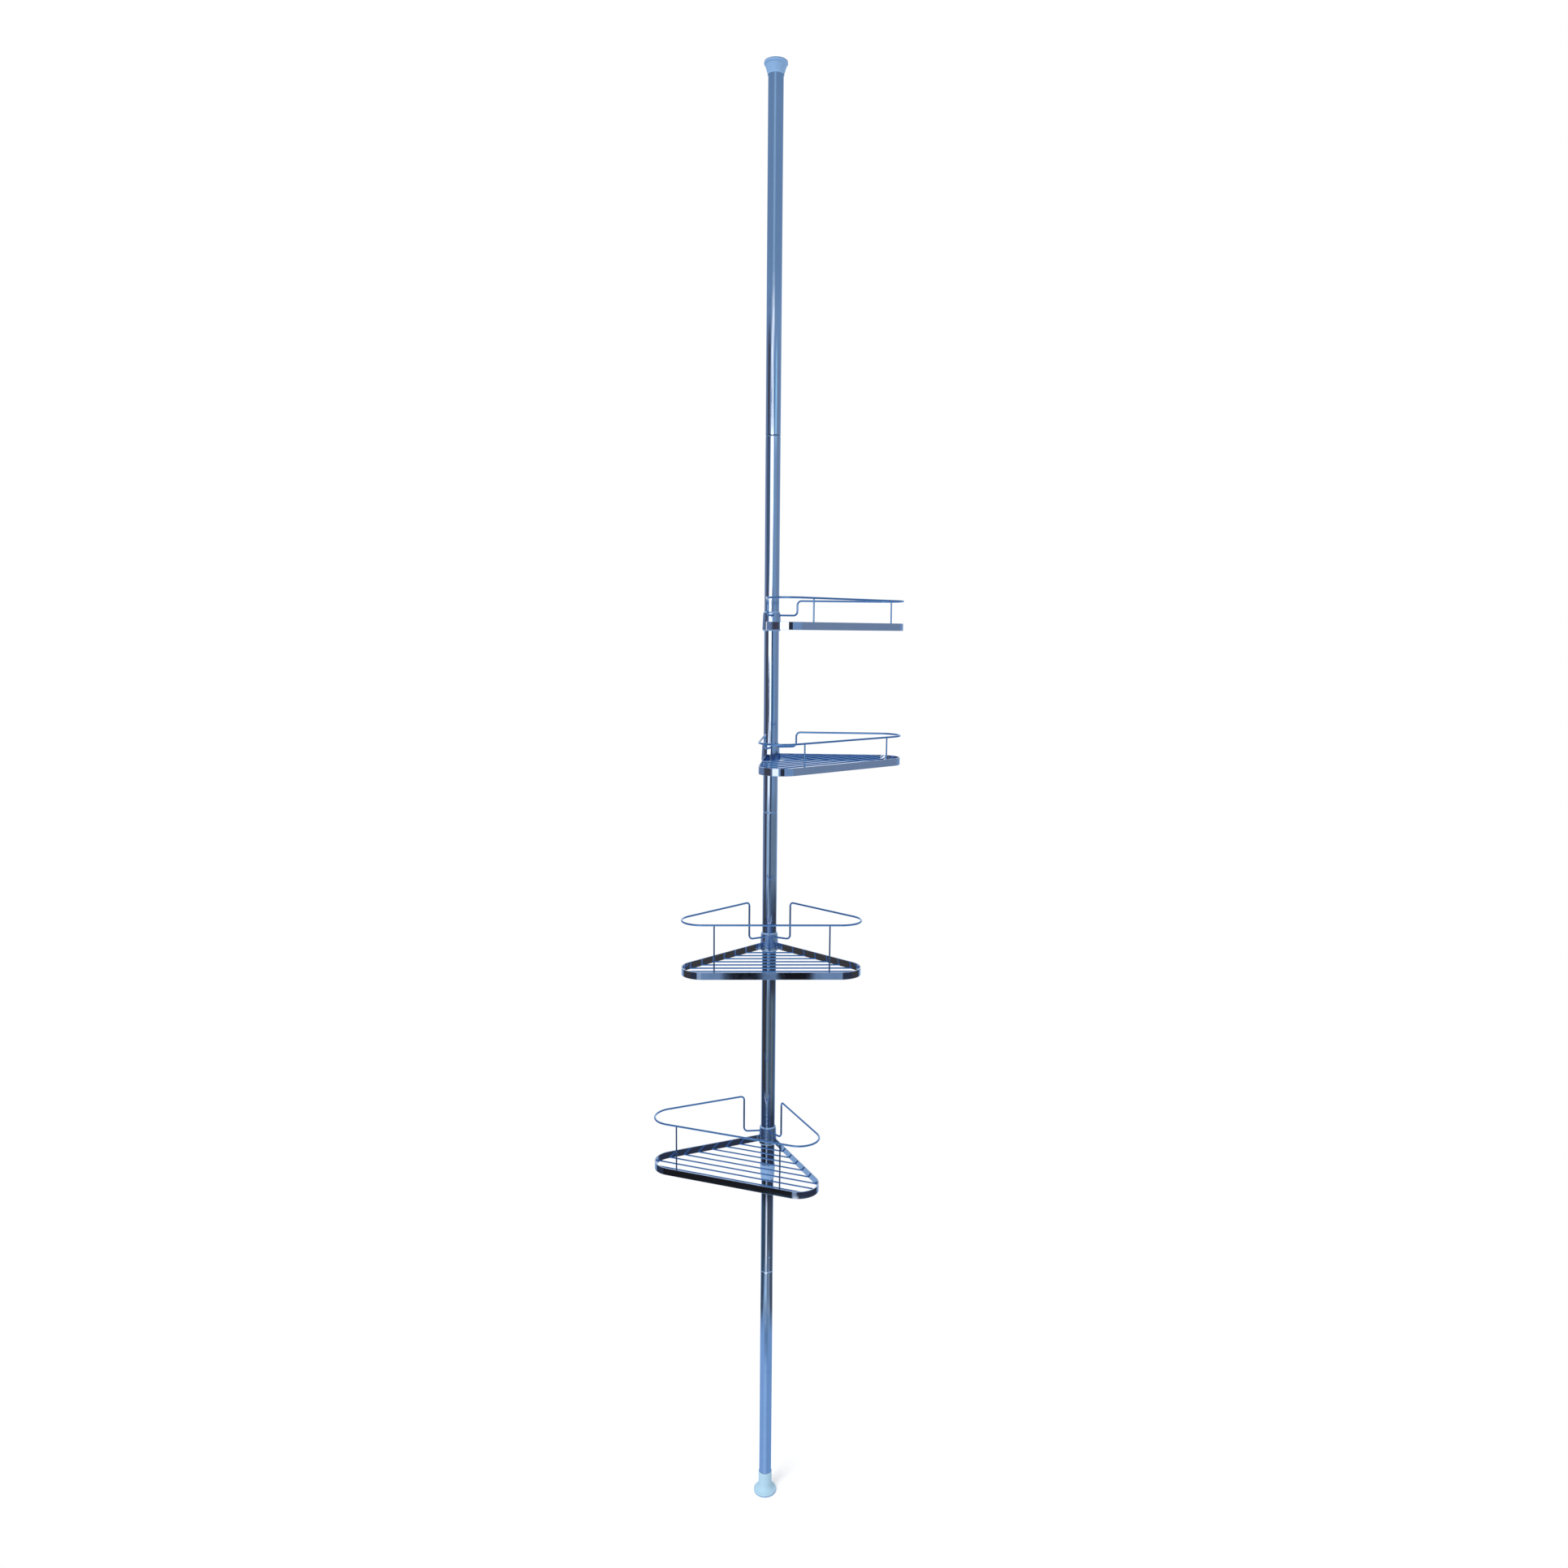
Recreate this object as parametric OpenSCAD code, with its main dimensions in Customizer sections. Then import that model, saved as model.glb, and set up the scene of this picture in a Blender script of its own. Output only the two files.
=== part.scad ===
// Corner shelf unit on a spring-loaded pole that stands wedged between floor and ceiling.
// The origin is the middle of the foot, on the floor. +Z is up the pole and -Y is the front.

/* [Pole] */
// Outer diameter of the three upper tubes
upper_d = 25; // [24.6:0.1:30]
// Outer diameter of the two lower tubes
lower_d = 22; // [19:0.1:22.2]
// Wall of every tube
tube_wall = 0.8; // [0.6:0.05:0.9]
// Visible length of the lower tube, from the foot's floor to the first joint
lower_len = 431; // [260:1:700]
// Length of the inner tube above the first joint
inner_len = 456; // [400:1:560]
// Height of the sleeve tube's lower end above the first joint
pull_out = 202; // [120:1:300]
// Length of the sleeve tube, up to the second joint
sleeve_len = 632; // [600:1:900]
// Length of the middle tube, up to the third joint
middle_len = 622; // [500:1:900]
// Length of the top tube, to its end inside the ceiling cap
top_len = 569; // [300:1:900]
// Length of the swaged neck by which one tube plugs into the next
neck_len = 48; // [40:1:70]

/* [Foot] */
// Diameter of the foot's disc
foot_d = 41; // [36:0.5:60]
// Height of the foot's edge above the pad
foot_edge = 3.2; // [2:0.1:5]
// Height of the foot's sleeve above the pad
foot_h = 38.5; // [28:0.5:60]
// Wall of the foot's sleeve
foot_wall = 1; // [0.8:0.1:2]
// Radius of the hollow flare between the foot's sleeve and its disc
flare_r = 20; // [16:0.5:26]
// Thickness of the rubber pad under the foot
foot_pad_t = 1.5; // [1:0.1:3]

/* [Ceiling cap] */
// Diameter of the ceiling cap's disc
cap_d = 38; // [34:0.5:60]
// Height of the ceiling cap without its pad
cap_h = 18.5; // [15:0.5:30]
// Thickness of the ceiling cap's edge
cap_edge = 1.5; // [1:0.1:3]
// Wall of the ceiling cap's mouth round the tube
cap_wall = 0.75; // [0.6:0.05:2]
// Thickness of the rubber pad on the ceiling cap
cap_pad_t = 1.5; // [1:0.1:3]

/* [Shelf places] */
// Height of the lowest shelf's band top above the sleeve tube's lower end
shelf_4_up = 53; // [48:1:110]
// Height of the third shelf above the lowest
shelf_3_up = 351; // [330:1:400]
// Height of the second shelf above the third
shelf_2_up = 328; // [310:1:380]
// Height of the top shelf above the second
shelf_1_up = 220; // [210:1:400]
// Turn of the top shelf about the pole, in degrees
shelf_1_turn = 44.6; // [-180:0.1:180]
// Turn of the second shelf
shelf_2_turn = 41.3; // [-180:0.1:180]
// Turn of the third shelf
shelf_3_turn = 1.4; // [-180:0.1:180]
// Turn of the lowest shelf
shelf_4_turn = -21; // [-180:0.1:180]

/* [Shelf] */
// Distance from the pole's axis to the outside of the front band
shelf_reach = 183.4; // [150:0.2:240]
// Outer radius of the two front corners
corner_r = 35; // [25:0.5:45]
// Distance by which each leg's middle line passes behind the pole's axis
leg_offset = 6.4; // [4:0.1:9]
// Height of the flat band
band_h = 12; // [10:0.5:20]
// Thickness of the flat band
band_t = 2; // [1.5:0.1:3]
// Diameter of the floor wires
floor_wire_d = 2.5; // [2:0.1:4]
// Spacing of the floor wires
floor_pitch = 18.4; // [12:0.2:30]
// Distance from the pole's axis to the first floor wire
first_wire = 31.6; // [28:0.2:45]
// Diameter of the guard rail's wire
rail_wire_d = 3.2; // [2.5:0.1:4]
// Height of the rail's middle above the band on the two upper shelves
low_rail_h = 36; // [34:1:60]
// Height of the rail's middle above the band on the two lower shelves
high_rail_h = 76; // [60:1:100]
// Diameter of the posts
post_d = 2.5; // [2:0.1:3.2]
// Distance of each post from the shelf's middle
post_x = 91; // [30:1:100]

/* [Collar] */
// Height of the steel collar
collar_h = 28; // [26:0.5:40]
// Wall of the steel collar
collar_wall = 1.3; // [1:0.1:2.5]
// Growth of the collar's radius from its top to its foot
collar_taper = 1.4; // [0.8:0.1:2]
// Wall of the wedge halves at their top
wedge_wall = 0.7; // [0.6:0.05:2]
// Slot between the two wedge halves
wedge_slot = 1.6; // [1:0.1:3]

/* [Hidden] */
SHELF_PIECES = ["collar", "clip_left", "clip_right", "band", "floor_wires", "rail", "posts"];
$fn = 96;

// Colours of the chrome, the pale plastic, the dark rubber and the plain steel
chrome = "#9FB4CC";
plastic = "#9CC4EA";
rubber = "#4A4F57";
steel = "#8A9097";

// Radial gap of a push fit or running fit, and the overrun of every cut
fit_gap = 0.05;
over = 1;
// Chamfer on the tubes' ends, and the length of the cone inside a swaged end
edge_cut = 0.3;
swage_h = 3;

// Radii of the pole
upper_r = upper_d / 2;
upper_bore_r = upper_r - tube_wall;
upper_neck_r = upper_bore_r - fit_gap;
lower_r = lower_d / 2;
lower_bore_r = lower_r - tube_wall;
lower_neck_r = lower_bore_r - fit_gap;

// Heights of the pole's joints above the floor
foot_top_z = foot_pad_t + foot_h;
lower_z = foot_pad_t + foot_edge / 2;
joint_3_z = lower_z + lower_len;
inner_top_z = joint_3_z + inner_len;
sleeve_z = joint_3_z + pull_out;
joint_2_z = sleeve_z + sleeve_len;
joint_1_z = joint_2_z + middle_len;
top_tube_z = joint_1_z + top_len;
cap_top_z = top_tube_z + cap_edge;

// Inset of both rubber pads from the edges that they lie under or on
pad_inset = 0.3;
// Height of the ceiling cap's straight mouth
cap_mouth_h = 2.5;

// Foot
foot_r = foot_d / 2;
foot_sleeve_r = lower_r + foot_wall;
// Height at which the hollow flare starts to leave the sleeve
flare_z = foot_pad_t + foot_edge + sqrt(flare_r ^ 2 - (foot_sleeve_r + flare_r - foot_r) ^ 2);

// Snap button: height above its joint, turn from the front, size and travel
button_up = 31;
button_turn = 21;
button_d = 5;
button_proud = 2;
button_hole_gap = 0.15;
button_z = joint_3_z + button_up;
// Leaf spring in the neck: strip thickness and width, and how far it stops under the neck's end
leaf_t = 0.5;
leaf_w = 8;
leaf_short = 6;
// Gap from the strip's edges to the neck's wall
leaf_gap = 0.2;
neck_inner_r = lower_neck_r - tube_wall;
leaf_r = sqrt((neck_inner_r - leaf_gap) ^ 2 - (leaf_w / 2) ^ 2);

// Telescope bush: rim, tip and liner
bush_rim = 0.5;
bush_rim_h = 8;
bush_h = 27;
bush_tip_wall = 0.45;
bush_liner_h = 60;
bush_bore_r = lower_r + fit_gap;

// Spring seats: the plug in the inner tube and the stop in the sleeve tube
plug_head_h = 8;
plug_head_gap = 0.1;
plug_stem_h = 18;
stop_h = 20;
// Height of the stop's lower face under the second joint
stop_down = 172;
stop_z = joint_2_z - stop_down;
spigot_h = 8;
spigot_gap = 0.4;

// Tension spring: wire, coil radius, counts, and its gap to the seats
spring_wire_d = 2.2;
spring_r = 9.4;
spring_turns = 15;
spring_rings = 12;
spring_sides = 6;
spring_seat_gap = 0.3;
spring_closed_gap = 0.6;
spring_z = inner_top_z + plug_head_h + spring_seat_gap;
spring_len = stop_z - spring_z - spring_seat_gap;

// Heights and turns of the shelves, from the top one down
shelf_4_z = sleeve_z + shelf_4_up;
shelf_3_z = shelf_4_z + shelf_3_up;
shelf_2_z = shelf_3_z + shelf_2_up;
shelf_1_z = shelf_2_z + shelf_1_up;
shelf_z = [shelf_1_z, shelf_2_z, shelf_3_z, shelf_4_z];
shelf_turn = [shelf_1_turn, shelf_2_turn, shelf_3_turn, shelf_4_turn];
rail_h = [low_rail_h, low_rail_h, high_rail_h, high_rail_h];

// Plan of the basket: the legs leave the pole at this angle to the front
leg_angle = 45;
front_y = -(shelf_reach - band_t / 2);
bend_r = corner_r - band_t / 2;
corner_y = front_y + bend_r;
corner_x = (leg_offset - bend_r) / sin(leg_angle) - corner_y;
// Length of a leg from the foot of the pole's perpendicular to the corner bend
leg_len = (corner_x - corner_y) * sin(leg_angle);

// Collar and wedge, from their foot at the band's lower edge
collar_z = -band_h;
collar_top_z = collar_z + collar_h;
wedge_show = 2;
collar_top_bore_r = upper_r + fit_gap + wedge_wall + fit_gap;
function collar_bore_r(z) = collar_top_bore_r + collar_taper * (collar_top_z - z) / collar_h;

// Guard rail: bend of its dips, where they lie along the legs, and how far their lowest
// run's middle lies under the collar's top
dip_bend_r = 7;
dip_along = 42.8;
dip_under = 4.2;
dip_z = collar_top_z - dip_under;
// Turn from the front at which a dip's end meets the collar
dip_meet = 35;
dip_x = (dip_along + leg_offset) * sin(leg_angle);
dip_y = (leg_offset - dip_along) * sin(leg_angle);
meet_r = collar_bore_r(dip_z) + collar_wall;
dip_run_x = dip_x - meet_r * sin(dip_meet);
dip_run_y = -meet_r * cos(dip_meet) - dip_y;

// Floor wires: their height above the band's lower edge, and their count
floor_lift = 0.3;
floor_z = floor_lift + floor_wire_d / 2 - band_h;
floor_count = floor((-front_y - first_wire) / floor_pitch - 1 / 2) + 1;

// A tube that stands on z = 0, with a swaged neck on its upper end
module necked_tube(r, neck_r, length) {
    rotate_extrude()
        polygon([
            [r - tube_wall, 0], [r - edge_cut, 0], [r, edge_cut], [r, length - edge_cut],
            [r - edge_cut, length], [neck_r, length], [neck_r, length + neck_len],
            [neck_r - tube_wall, length + neck_len], [neck_r - tube_wall, length],
            [r - tube_wall, length - swage_h]
        ]);
}

// A tube that stands on z = 0, with two plain ends
module plain_tube(r, length) {
    rotate_extrude()
        polygon([
            [r - tube_wall, 0], [r - edge_cut, 0], [r, edge_cut], [r, length],
            [r - tube_wall, length]
        ]);
}

// Turns its children from the front to the snap button's side, with +X pointing outwards
module at_button() {
    translate([0, 0, button_z])
        rotate([0, 0, button_turn - 90])
            children();
}

module button_hole() {
    at_button()
        rotate([0, 90, 0])
            cylinder(r = button_d / 2 + button_hole_gap, h = lower_r + over);
}

module foot_pad() {
    color(rubber) cylinder(r = foot_r - pad_inset, h = foot_pad_t);
}

// Disc, hollow flare and sleeve, bored for the lower tube
module foot_cap() {
    color(plastic)
        difference() {
            rotate_extrude()
                difference() {
                    translate([0, foot_pad_t]) square([foot_r, foot_h]);
                    translate([foot_sleeve_r, flare_z]) square([foot_r, foot_h]);
                    translate([foot_sleeve_r + flare_r, flare_z]) circle(r = flare_r);
                }
            translate([0, 0, lower_z]) cylinder(r = lower_r + fit_gap, h = foot_top_z);
        }
}

module lower_tube() {
    color(chrome)
        difference() {
            translate([0, 0, lower_z]) necked_tube(lower_r, lower_neck_r, lower_len);
            button_hole();
        }
}

// A strip bent to a U, whose legs press on opposite walls of the neck
module snap_spring() {
    leg_h = neck_len - leaf_short - leaf_r;
    color(steel)
        translate([0, 0, joint_3_z + leaf_r])
            rotate([0, 0, button_turn - 90]) {
                for (side = [0, 180])
                    rotate([0, 0, side])
                        translate([leaf_r - leaf_t, -leaf_w / 2, 0]) cube([leaf_t, leaf_w, leg_h]);
                rotate([90, 180, 0])
                    translate([0, 0, -leaf_w / 2])
                        rotate_extrude(angle = 180)
                            translate([leaf_r - leaf_t, 0]) square([leaf_t, leaf_w]);
            }
}

// A round button with a domed head, riveted to the leaf
module snap_button() {
    length = lower_r + button_proud - leaf_r;
    color(steel)
        at_button()
            translate([leaf_r, 0, 0])
                rotate([0, 90, 0])
                    intersection() {
                        cylinder(r = button_d / 2, h = length);
                        translate([0, 0, length - button_d]) sphere(r = button_d);
                    }
}

module inner_tube() {
    color(chrome)
        difference() {
            translate([0, 0, joint_3_z]) plain_tube(lower_r, inner_len);
            button_hole();
        }
}

// Stem in the inner tube, a head that runs in the sleeve tube, and a spigot inside the spring
module inner_tube_plug() {
    spigot_r = spring_r - spring_wire_d / 2 - spigot_gap;
    color(plastic)
        translate([0, 0, inner_top_z]) {
            translate([0, 0, -plug_stem_h])
                cylinder(r = lower_bore_r - fit_gap, h = plug_stem_h);
            cylinder(r = upper_bore_r - plug_head_gap, h = plug_head_h);
            translate([0, 0, plug_head_h]) cylinder(r = spigot_r, h = spigot_h);
        }
}

// Height of the spring's middle line after t turns: a closed turn at each end, open between
closed_pitch = spring_wire_d + spring_closed_gap;
open_pitch = (spring_len - spring_wire_d - 2 * closed_pitch) / (spring_turns - 2);
function coil_z(t) =
    spring_wire_d / 2 + closed_pitch * min(t, 1)
    + open_pitch * min(max(t - 1, 0), spring_turns - 2)
    + closed_pitch * max(t - spring_turns + 1, 0);
function coil_point(t) = [spring_r * cos(360 * t), spring_r * sin(360 * t), coil_z(t)];
// Climb angle after t turns, measured over one ring's step
function coil_climb(t) =
    let (step = 1 / spring_rings, low = max(t - step, 0), high = min(t + step, spring_turns))
    atan2(coil_z(high) - coil_z(low), 2 * PI * spring_r * (high - low));
function coil_ring(t) =
    let (turn = 360 * t, climb = coil_climb(t),
         out = [cos(turn), sin(turn), 0],
         up = [sin(turn) * sin(climb), -cos(turn) * sin(climb), cos(climb)])
    [for (i = [0:spring_sides - 1])
        coil_point(t) + spring_wire_d / 2
        * (out * cos(360 * i / spring_sides) + up * sin(360 * i / spring_sides))];

// A helical compression spring, one unbroken wire
module tension_spring() {
    rings = spring_turns * spring_rings;
    points = [for (k = [0:rings]) each coil_ring(k / spring_rings)];
    sides = [for (k = [0:rings - 1]) for (i = [0:spring_sides - 1])
        let (a = k * spring_sides, b = a + spring_sides, j = (i + 1) % spring_sides)
        each [[a + i, b + i, b + j], [a + i, b + j, a + j]]];
    ends = [for (i = [1:spring_sides - 2])
        let (last = rings * spring_sides)
        each [[0, i, i + 1], [last, last + i + 1, last + i]]];
    color(steel)
        translate([0, 0, spring_z])
            polyhedron(points = points, faces = concat(sides, ends), convexity = 10);
}

// Tapered nose and rim under the sleeve tube, and a thin liner up inside it
module telescope_bush() {
    color(plastic)
        translate([0, 0, sleeve_z])
            rotate_extrude()
                polygon([
                    [bush_bore_r, -bush_h], [bush_bore_r + bush_tip_wall, -bush_h],
                    [upper_r + bush_rim, -bush_rim_h], [upper_r + bush_rim, 0],
                    [upper_bore_r - fit_gap, 0], [upper_bore_r - fit_gap, bush_liner_h],
                    [bush_bore_r, bush_liner_h]
                ]);
}

module sleeve_tube() {
    color(chrome) translate([0, 0, sleeve_z]) necked_tube(upper_r, upper_neck_r, sleeve_len);
}

// Plug pressed into the sleeve tube, with a spigot down inside the spring
module spring_stop() {
    spigot_r = spring_r - spring_wire_d / 2 - spigot_gap;
    color(plastic)
        translate([0, 0, stop_z]) {
            cylinder(r = upper_bore_r - fit_gap, h = stop_h);
            translate([0, 0, -spigot_h]) cylinder(r = spigot_r, h = spigot_h);
        }
}

module middle_tube() {
    color(chrome) translate([0, 0, joint_2_z]) necked_tube(upper_r, upper_neck_r, middle_len);
}

module top_tube() {
    color(chrome) translate([0, 0, joint_1_z]) plain_tube(upper_r, top_len);
}

// A shallow funnel upside down, bored for the top tube
module ceiling_cap() {
    mouth_r = upper_r + fit_gap + cap_wall;
    color(plastic)
        translate([0, 0, cap_top_z])
            rotate_extrude()
                polygon([
                    [0, 0], [cap_d / 2, 0], [cap_d / 2, -cap_edge],
                    [cap_d / 2 - cap_edge / 2, -cap_edge], [mouth_r, cap_mouth_h - cap_h],
                    [mouth_r, -cap_h], [upper_r + fit_gap, -cap_h],
                    [upper_r + fit_gap, -cap_edge], [0, -cap_edge]
                ]);
}

module ceiling_pad() {
    color(rubber)
        translate([0, 0, cap_top_z]) cylinder(r = cap_d / 2 - pad_inset, h = cap_pad_t);
}

// Places its children on shelf i, whose band top is at z = 0 and whose front is at -Y
module on_shelf(i) {
    translate([0, 0, shelf_z[i - 1]]) rotate([0, 0, shelf_turn[i - 1]]) children();
}

// The right half and its mirror image
module both_sides() {
    children();
    mirror([1, 0, 0]) children();
}

// A tapered ring that narrows upwards
module shelf_collar() {
    foot_bore_r = collar_bore_r(collar_z);
    color(chrome)
        translate([0, 0, collar_z])
            difference() {
                cylinder(r1 = foot_bore_r + collar_wall, r2 = collar_top_bore_r + collar_wall,
                         h = collar_h);
                translate([0, 0, -over])
                    cylinder(r1 = collar_bore_r(collar_z - over),
                             r2 = collar_bore_r(collar_top_z + over), h = collar_h + 2 * over);
            }
}

// The space that the collar fills, to trim what is welded to its outside
module collar_core() {
    translate([0, 0, collar_z - over])
        cylinder(r1 = collar_bore_r(collar_z - over) + collar_wall,
                 r2 = collar_bore_r(collar_top_z + over) + collar_wall, h = collar_h + 2 * over);
}

// The right half of the wedge, tapered as the collar's bore is and bored for the pole
module shelf_clip() {
    low_z = collar_z - wedge_show;
    high_z = collar_top_z + wedge_show;
    color(plastic)
        difference() {
            translate([0, 0, low_z])
                cylinder(r1 = collar_bore_r(low_z) - fit_gap, r2 = collar_bore_r(high_z) - fit_gap,
                         h = high_z - low_z);
            translate([0, 0, low_z - over])
                cylinder(r = upper_r + fit_gap, h = high_z - low_z + 2 * over);
            translate([wedge_slot / 2 - 2 * upper_d, -upper_d, low_z - over])
                cube([2 * upper_d, 2 * upper_d, high_z - low_z + 2 * over]);
        }
}

// A bent bar or wire, whose section is the 2D child and which starts along +Z. Each run is
// [length, bend angle, bend radius, roll]: a straight length, then a bend towards +X after
// the roll about the bar. Only a round section takes a roll.
module bent_bar(runs, i = 0) {
    length = runs[i][0];
    angle = runs[i][1];
    radius = runs[i][2];
    linear_extrude(height = length) children();
    if (i < len(runs) - 1)
        translate([0, 0, length])
            rotate([0, 0, runs[i][3]]) {
                translate([radius, 0, 0])
                    rotate([90, 0, 180])
                        rotate_extrude(angle = angle)
                            translate([radius, 0]) mirror([1, 0]) children();
                translate([radius * (1 - cos(angle)), 0, radius * sin(angle)])
                    rotate([0, angle, 0]) bent_bar(runs, i + 1) children();
            }
}

// Sets a bar's start at the middle of the front, heading for +X, with its +X to the pole
module from_front(z) {
    translate([0, front_y, z]) rotate([90, 0, 90]) children();
}

// A flat strip on edge: front, two corner bends and two legs, cut by the collar
module shelf_band() {
    color(chrome)
        difference() {
            both_sides()
                from_front(0)
                    bent_bar([
                        [corner_x, 90 + leg_angle, bend_r, 0],
                        [leg_len - leg_offset, 0, 0, 0]
                    ])
                        translate([-band_t / 2, -band_h]) square([band_t, band_h]);
            collar_core();
        }
}

// The room inside the band, to trim the floor wires
module band_inside() {
    inner_r = bend_r - band_t / 2;
    inner_offset = leg_offset - band_t / 2;
    touch = inner_r * sin(leg_angle);
    union() {
        linear_extrude(height = band_h)
            polygon([
                [0, inner_offset / sin(leg_angle)],
                [corner_x + touch, corner_y + touch], [corner_x, corner_y],
                [corner_x, corner_y - inner_r], [-corner_x, corner_y - inner_r],
                [-corner_x, corner_y], [-corner_x - touch, corner_y + touch]
            ]);
        for (side = [-1, 1])
            translate([side * corner_x, corner_y, 0]) cylinder(r = inner_r, h = band_h);
    }
}

module shelf_floor_wires() {
    color(chrome)
        for (i = [0:floor_count - 1])
            intersection() {
                translate([-shelf_reach, -first_wire - i * floor_pitch, floor_z])
                    rotate([0, 90, 0]) cylinder(r = floor_wire_d / 2, h = 2 * shelf_reach);
                translate([0, 0, -band_h]) band_inside();
            }
}

// Guard wire at height h: round the front, along the legs, and down in a dip to the collar
module shelf_rail(h) {
    // Angle in plan between the leg's way in and the dip's way to the collar
    dip_turn = leg_angle - atan2(dip_run_y, dip_run_x);
    runs = [
        [corner_x, 90 + leg_angle, bend_r, 0],
        [leg_len - dip_along - dip_bend_r, 90, dip_bend_r, -90],
        [h - dip_z - 2 * dip_bend_r, 90, dip_bend_r, 180 - dip_turn],
        [norm([dip_run_x, dip_run_y]) - dip_bend_r + rail_wire_d, 0, 0, 0]
    ];
    color(chrome)
        difference() {
            both_sides() from_front(h) bent_bar(runs) circle(r = rail_wire_d / 2);
            collar_core();
        }
}

// Two short wires from the band's top edge to the rail, saddled to it
module shelf_posts(h) {
    color(chrome)
        both_sides()
            difference() {
                translate([post_x, front_y, 0]) cylinder(r = post_d / 2, h = h);
                from_front(h) cylinder(r = rail_wire_d / 2, h = corner_x);
            }
}

foot_pad();
foot_cap();
lower_tube();
snap_spring();
snap_button();
inner_tube();
inner_tube_plug();
tension_spring();
telescope_bush();
sleeve_tube();
spring_stop();
middle_tube();
top_tube();
ceiling_cap();
ceiling_pad();
for (i = [1:4]) {
    on_shelf(i) shelf_collar();
    on_shelf(i) shelf_clip();
    on_shelf(i) mirror([1, 0, 0]) shelf_clip();
    on_shelf(i) shelf_band();
    on_shelf(i) shelf_floor_wires();
    on_shelf(i) shelf_rail(rail_h[i - 1]);
    on_shelf(i) shelf_posts(rail_h[i - 1]);
}
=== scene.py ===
"""Corner shelf unit on a spring-loaded pole, dressed as bright chrome and pale moulded plastic.

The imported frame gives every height. The classes below build the finished pieces round it: the
pole with its foot, bush and cap, and four wire shelves with their collars and wedges.
"""

import logging
import math
from collections.abc import Iterable, Sequence
from dataclasses import dataclass, field
from enum import Enum

import bmesh
import bpy
from mathutils import Matrix, Vector


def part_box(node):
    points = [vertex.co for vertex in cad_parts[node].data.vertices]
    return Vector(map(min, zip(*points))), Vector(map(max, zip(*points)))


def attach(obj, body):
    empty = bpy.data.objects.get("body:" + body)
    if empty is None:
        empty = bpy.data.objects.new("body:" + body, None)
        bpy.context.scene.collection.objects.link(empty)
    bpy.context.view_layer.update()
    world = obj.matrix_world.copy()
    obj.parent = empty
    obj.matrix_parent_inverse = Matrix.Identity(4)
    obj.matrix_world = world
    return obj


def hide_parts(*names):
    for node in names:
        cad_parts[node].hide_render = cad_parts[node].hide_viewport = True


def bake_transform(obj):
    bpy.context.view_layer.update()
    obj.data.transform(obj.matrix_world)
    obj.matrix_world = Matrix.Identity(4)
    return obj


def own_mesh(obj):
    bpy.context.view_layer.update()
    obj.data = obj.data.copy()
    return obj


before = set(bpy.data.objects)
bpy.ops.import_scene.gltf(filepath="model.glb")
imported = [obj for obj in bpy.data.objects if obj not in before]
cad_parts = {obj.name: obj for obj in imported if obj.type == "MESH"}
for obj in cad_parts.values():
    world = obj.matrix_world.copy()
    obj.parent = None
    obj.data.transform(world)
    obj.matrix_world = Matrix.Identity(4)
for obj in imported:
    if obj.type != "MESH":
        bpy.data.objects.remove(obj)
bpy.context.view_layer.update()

MM = 0.001
WIRE_SIDES = 20
STRIP_EDGE_STEPS = 4
FACE_WEIGHT = 90
ON_AXIS = 1e-6
# A Mix node has one pair of sockets for each kind of value under the same names, so its two
# colours are reached by number
COLOUR_A = 6
COLOUR_B = 7
LOG = logging.getLogger("shelf_unit")

Colour = tuple[float, float, float, float]
Outline = list[tuple[float, float]]


def linear(hex_colour: str) -> Colour:
    """Turns an sRGB colour into the linear one that a shader takes.

    Args:
        hex_colour: Colour such as "#9DB4D2".

    Returns:
        Red, green, blue and an alpha of 1.
    """
    shares = [int(hex_colour[i:i + 2], 16) / 255 for i in (1, 3, 5)]
    red, green, blue = (
        share / 12.92 if share <= 0.04045 else ((share + 0.055) / 1.055) ** 2.4 for share in shares
    )
    return red, green, blue, 1.0


def add_node(
    tree: bpy.types.NodeTree, kind: str, inputs: dict | None = None, **settings: object
) -> bpy.types.Node:
    """Adds one node to a tree, with its properties, values and links.

    Args:
        tree: Tree that takes the node.
        kind: Blender's type name of the node.
        inputs: Value, or output socket that feeds it, for an input's name or number.
        settings: Values of the node's own properties.

    Returns:
        The new node.
    """
    node = tree.nodes.new(kind)
    for name, value in settings.items():
        setattr(node, name, value)
    for key, value in (inputs or {}).items():
        if isinstance(value, bpy.types.NodeSocket):
            tree.links.new(value, node.inputs[key])
        else:
            node.inputs[key].default_value = value
    return node


def new_material(
    name: str,
) -> tuple[bpy.types.Material, bpy.types.NodeTree, bpy.types.NodeSocket]:
    """Starts a node material.

    Args:
        name: Name of the material.

    Returns:
        The material, its tree and the object's own coordinates, which its pattern follows.
    """
    material = bpy.data.materials.new(name)
    material.use_nodes = True
    tree = material.node_tree
    return material, tree, add_node(tree, "ShaderNodeTexCoord").outputs["Object"]


class Grain(Enum):
    """Stretch of a finish's fine lines along X, Y and Z: small where the lines run."""

    UP = (1.0, 1.0, 0.012)
    LEVEL = (0.03, 0.03, 1.0)
    EVEN = (1.0, 1.0, 1.0)


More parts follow.
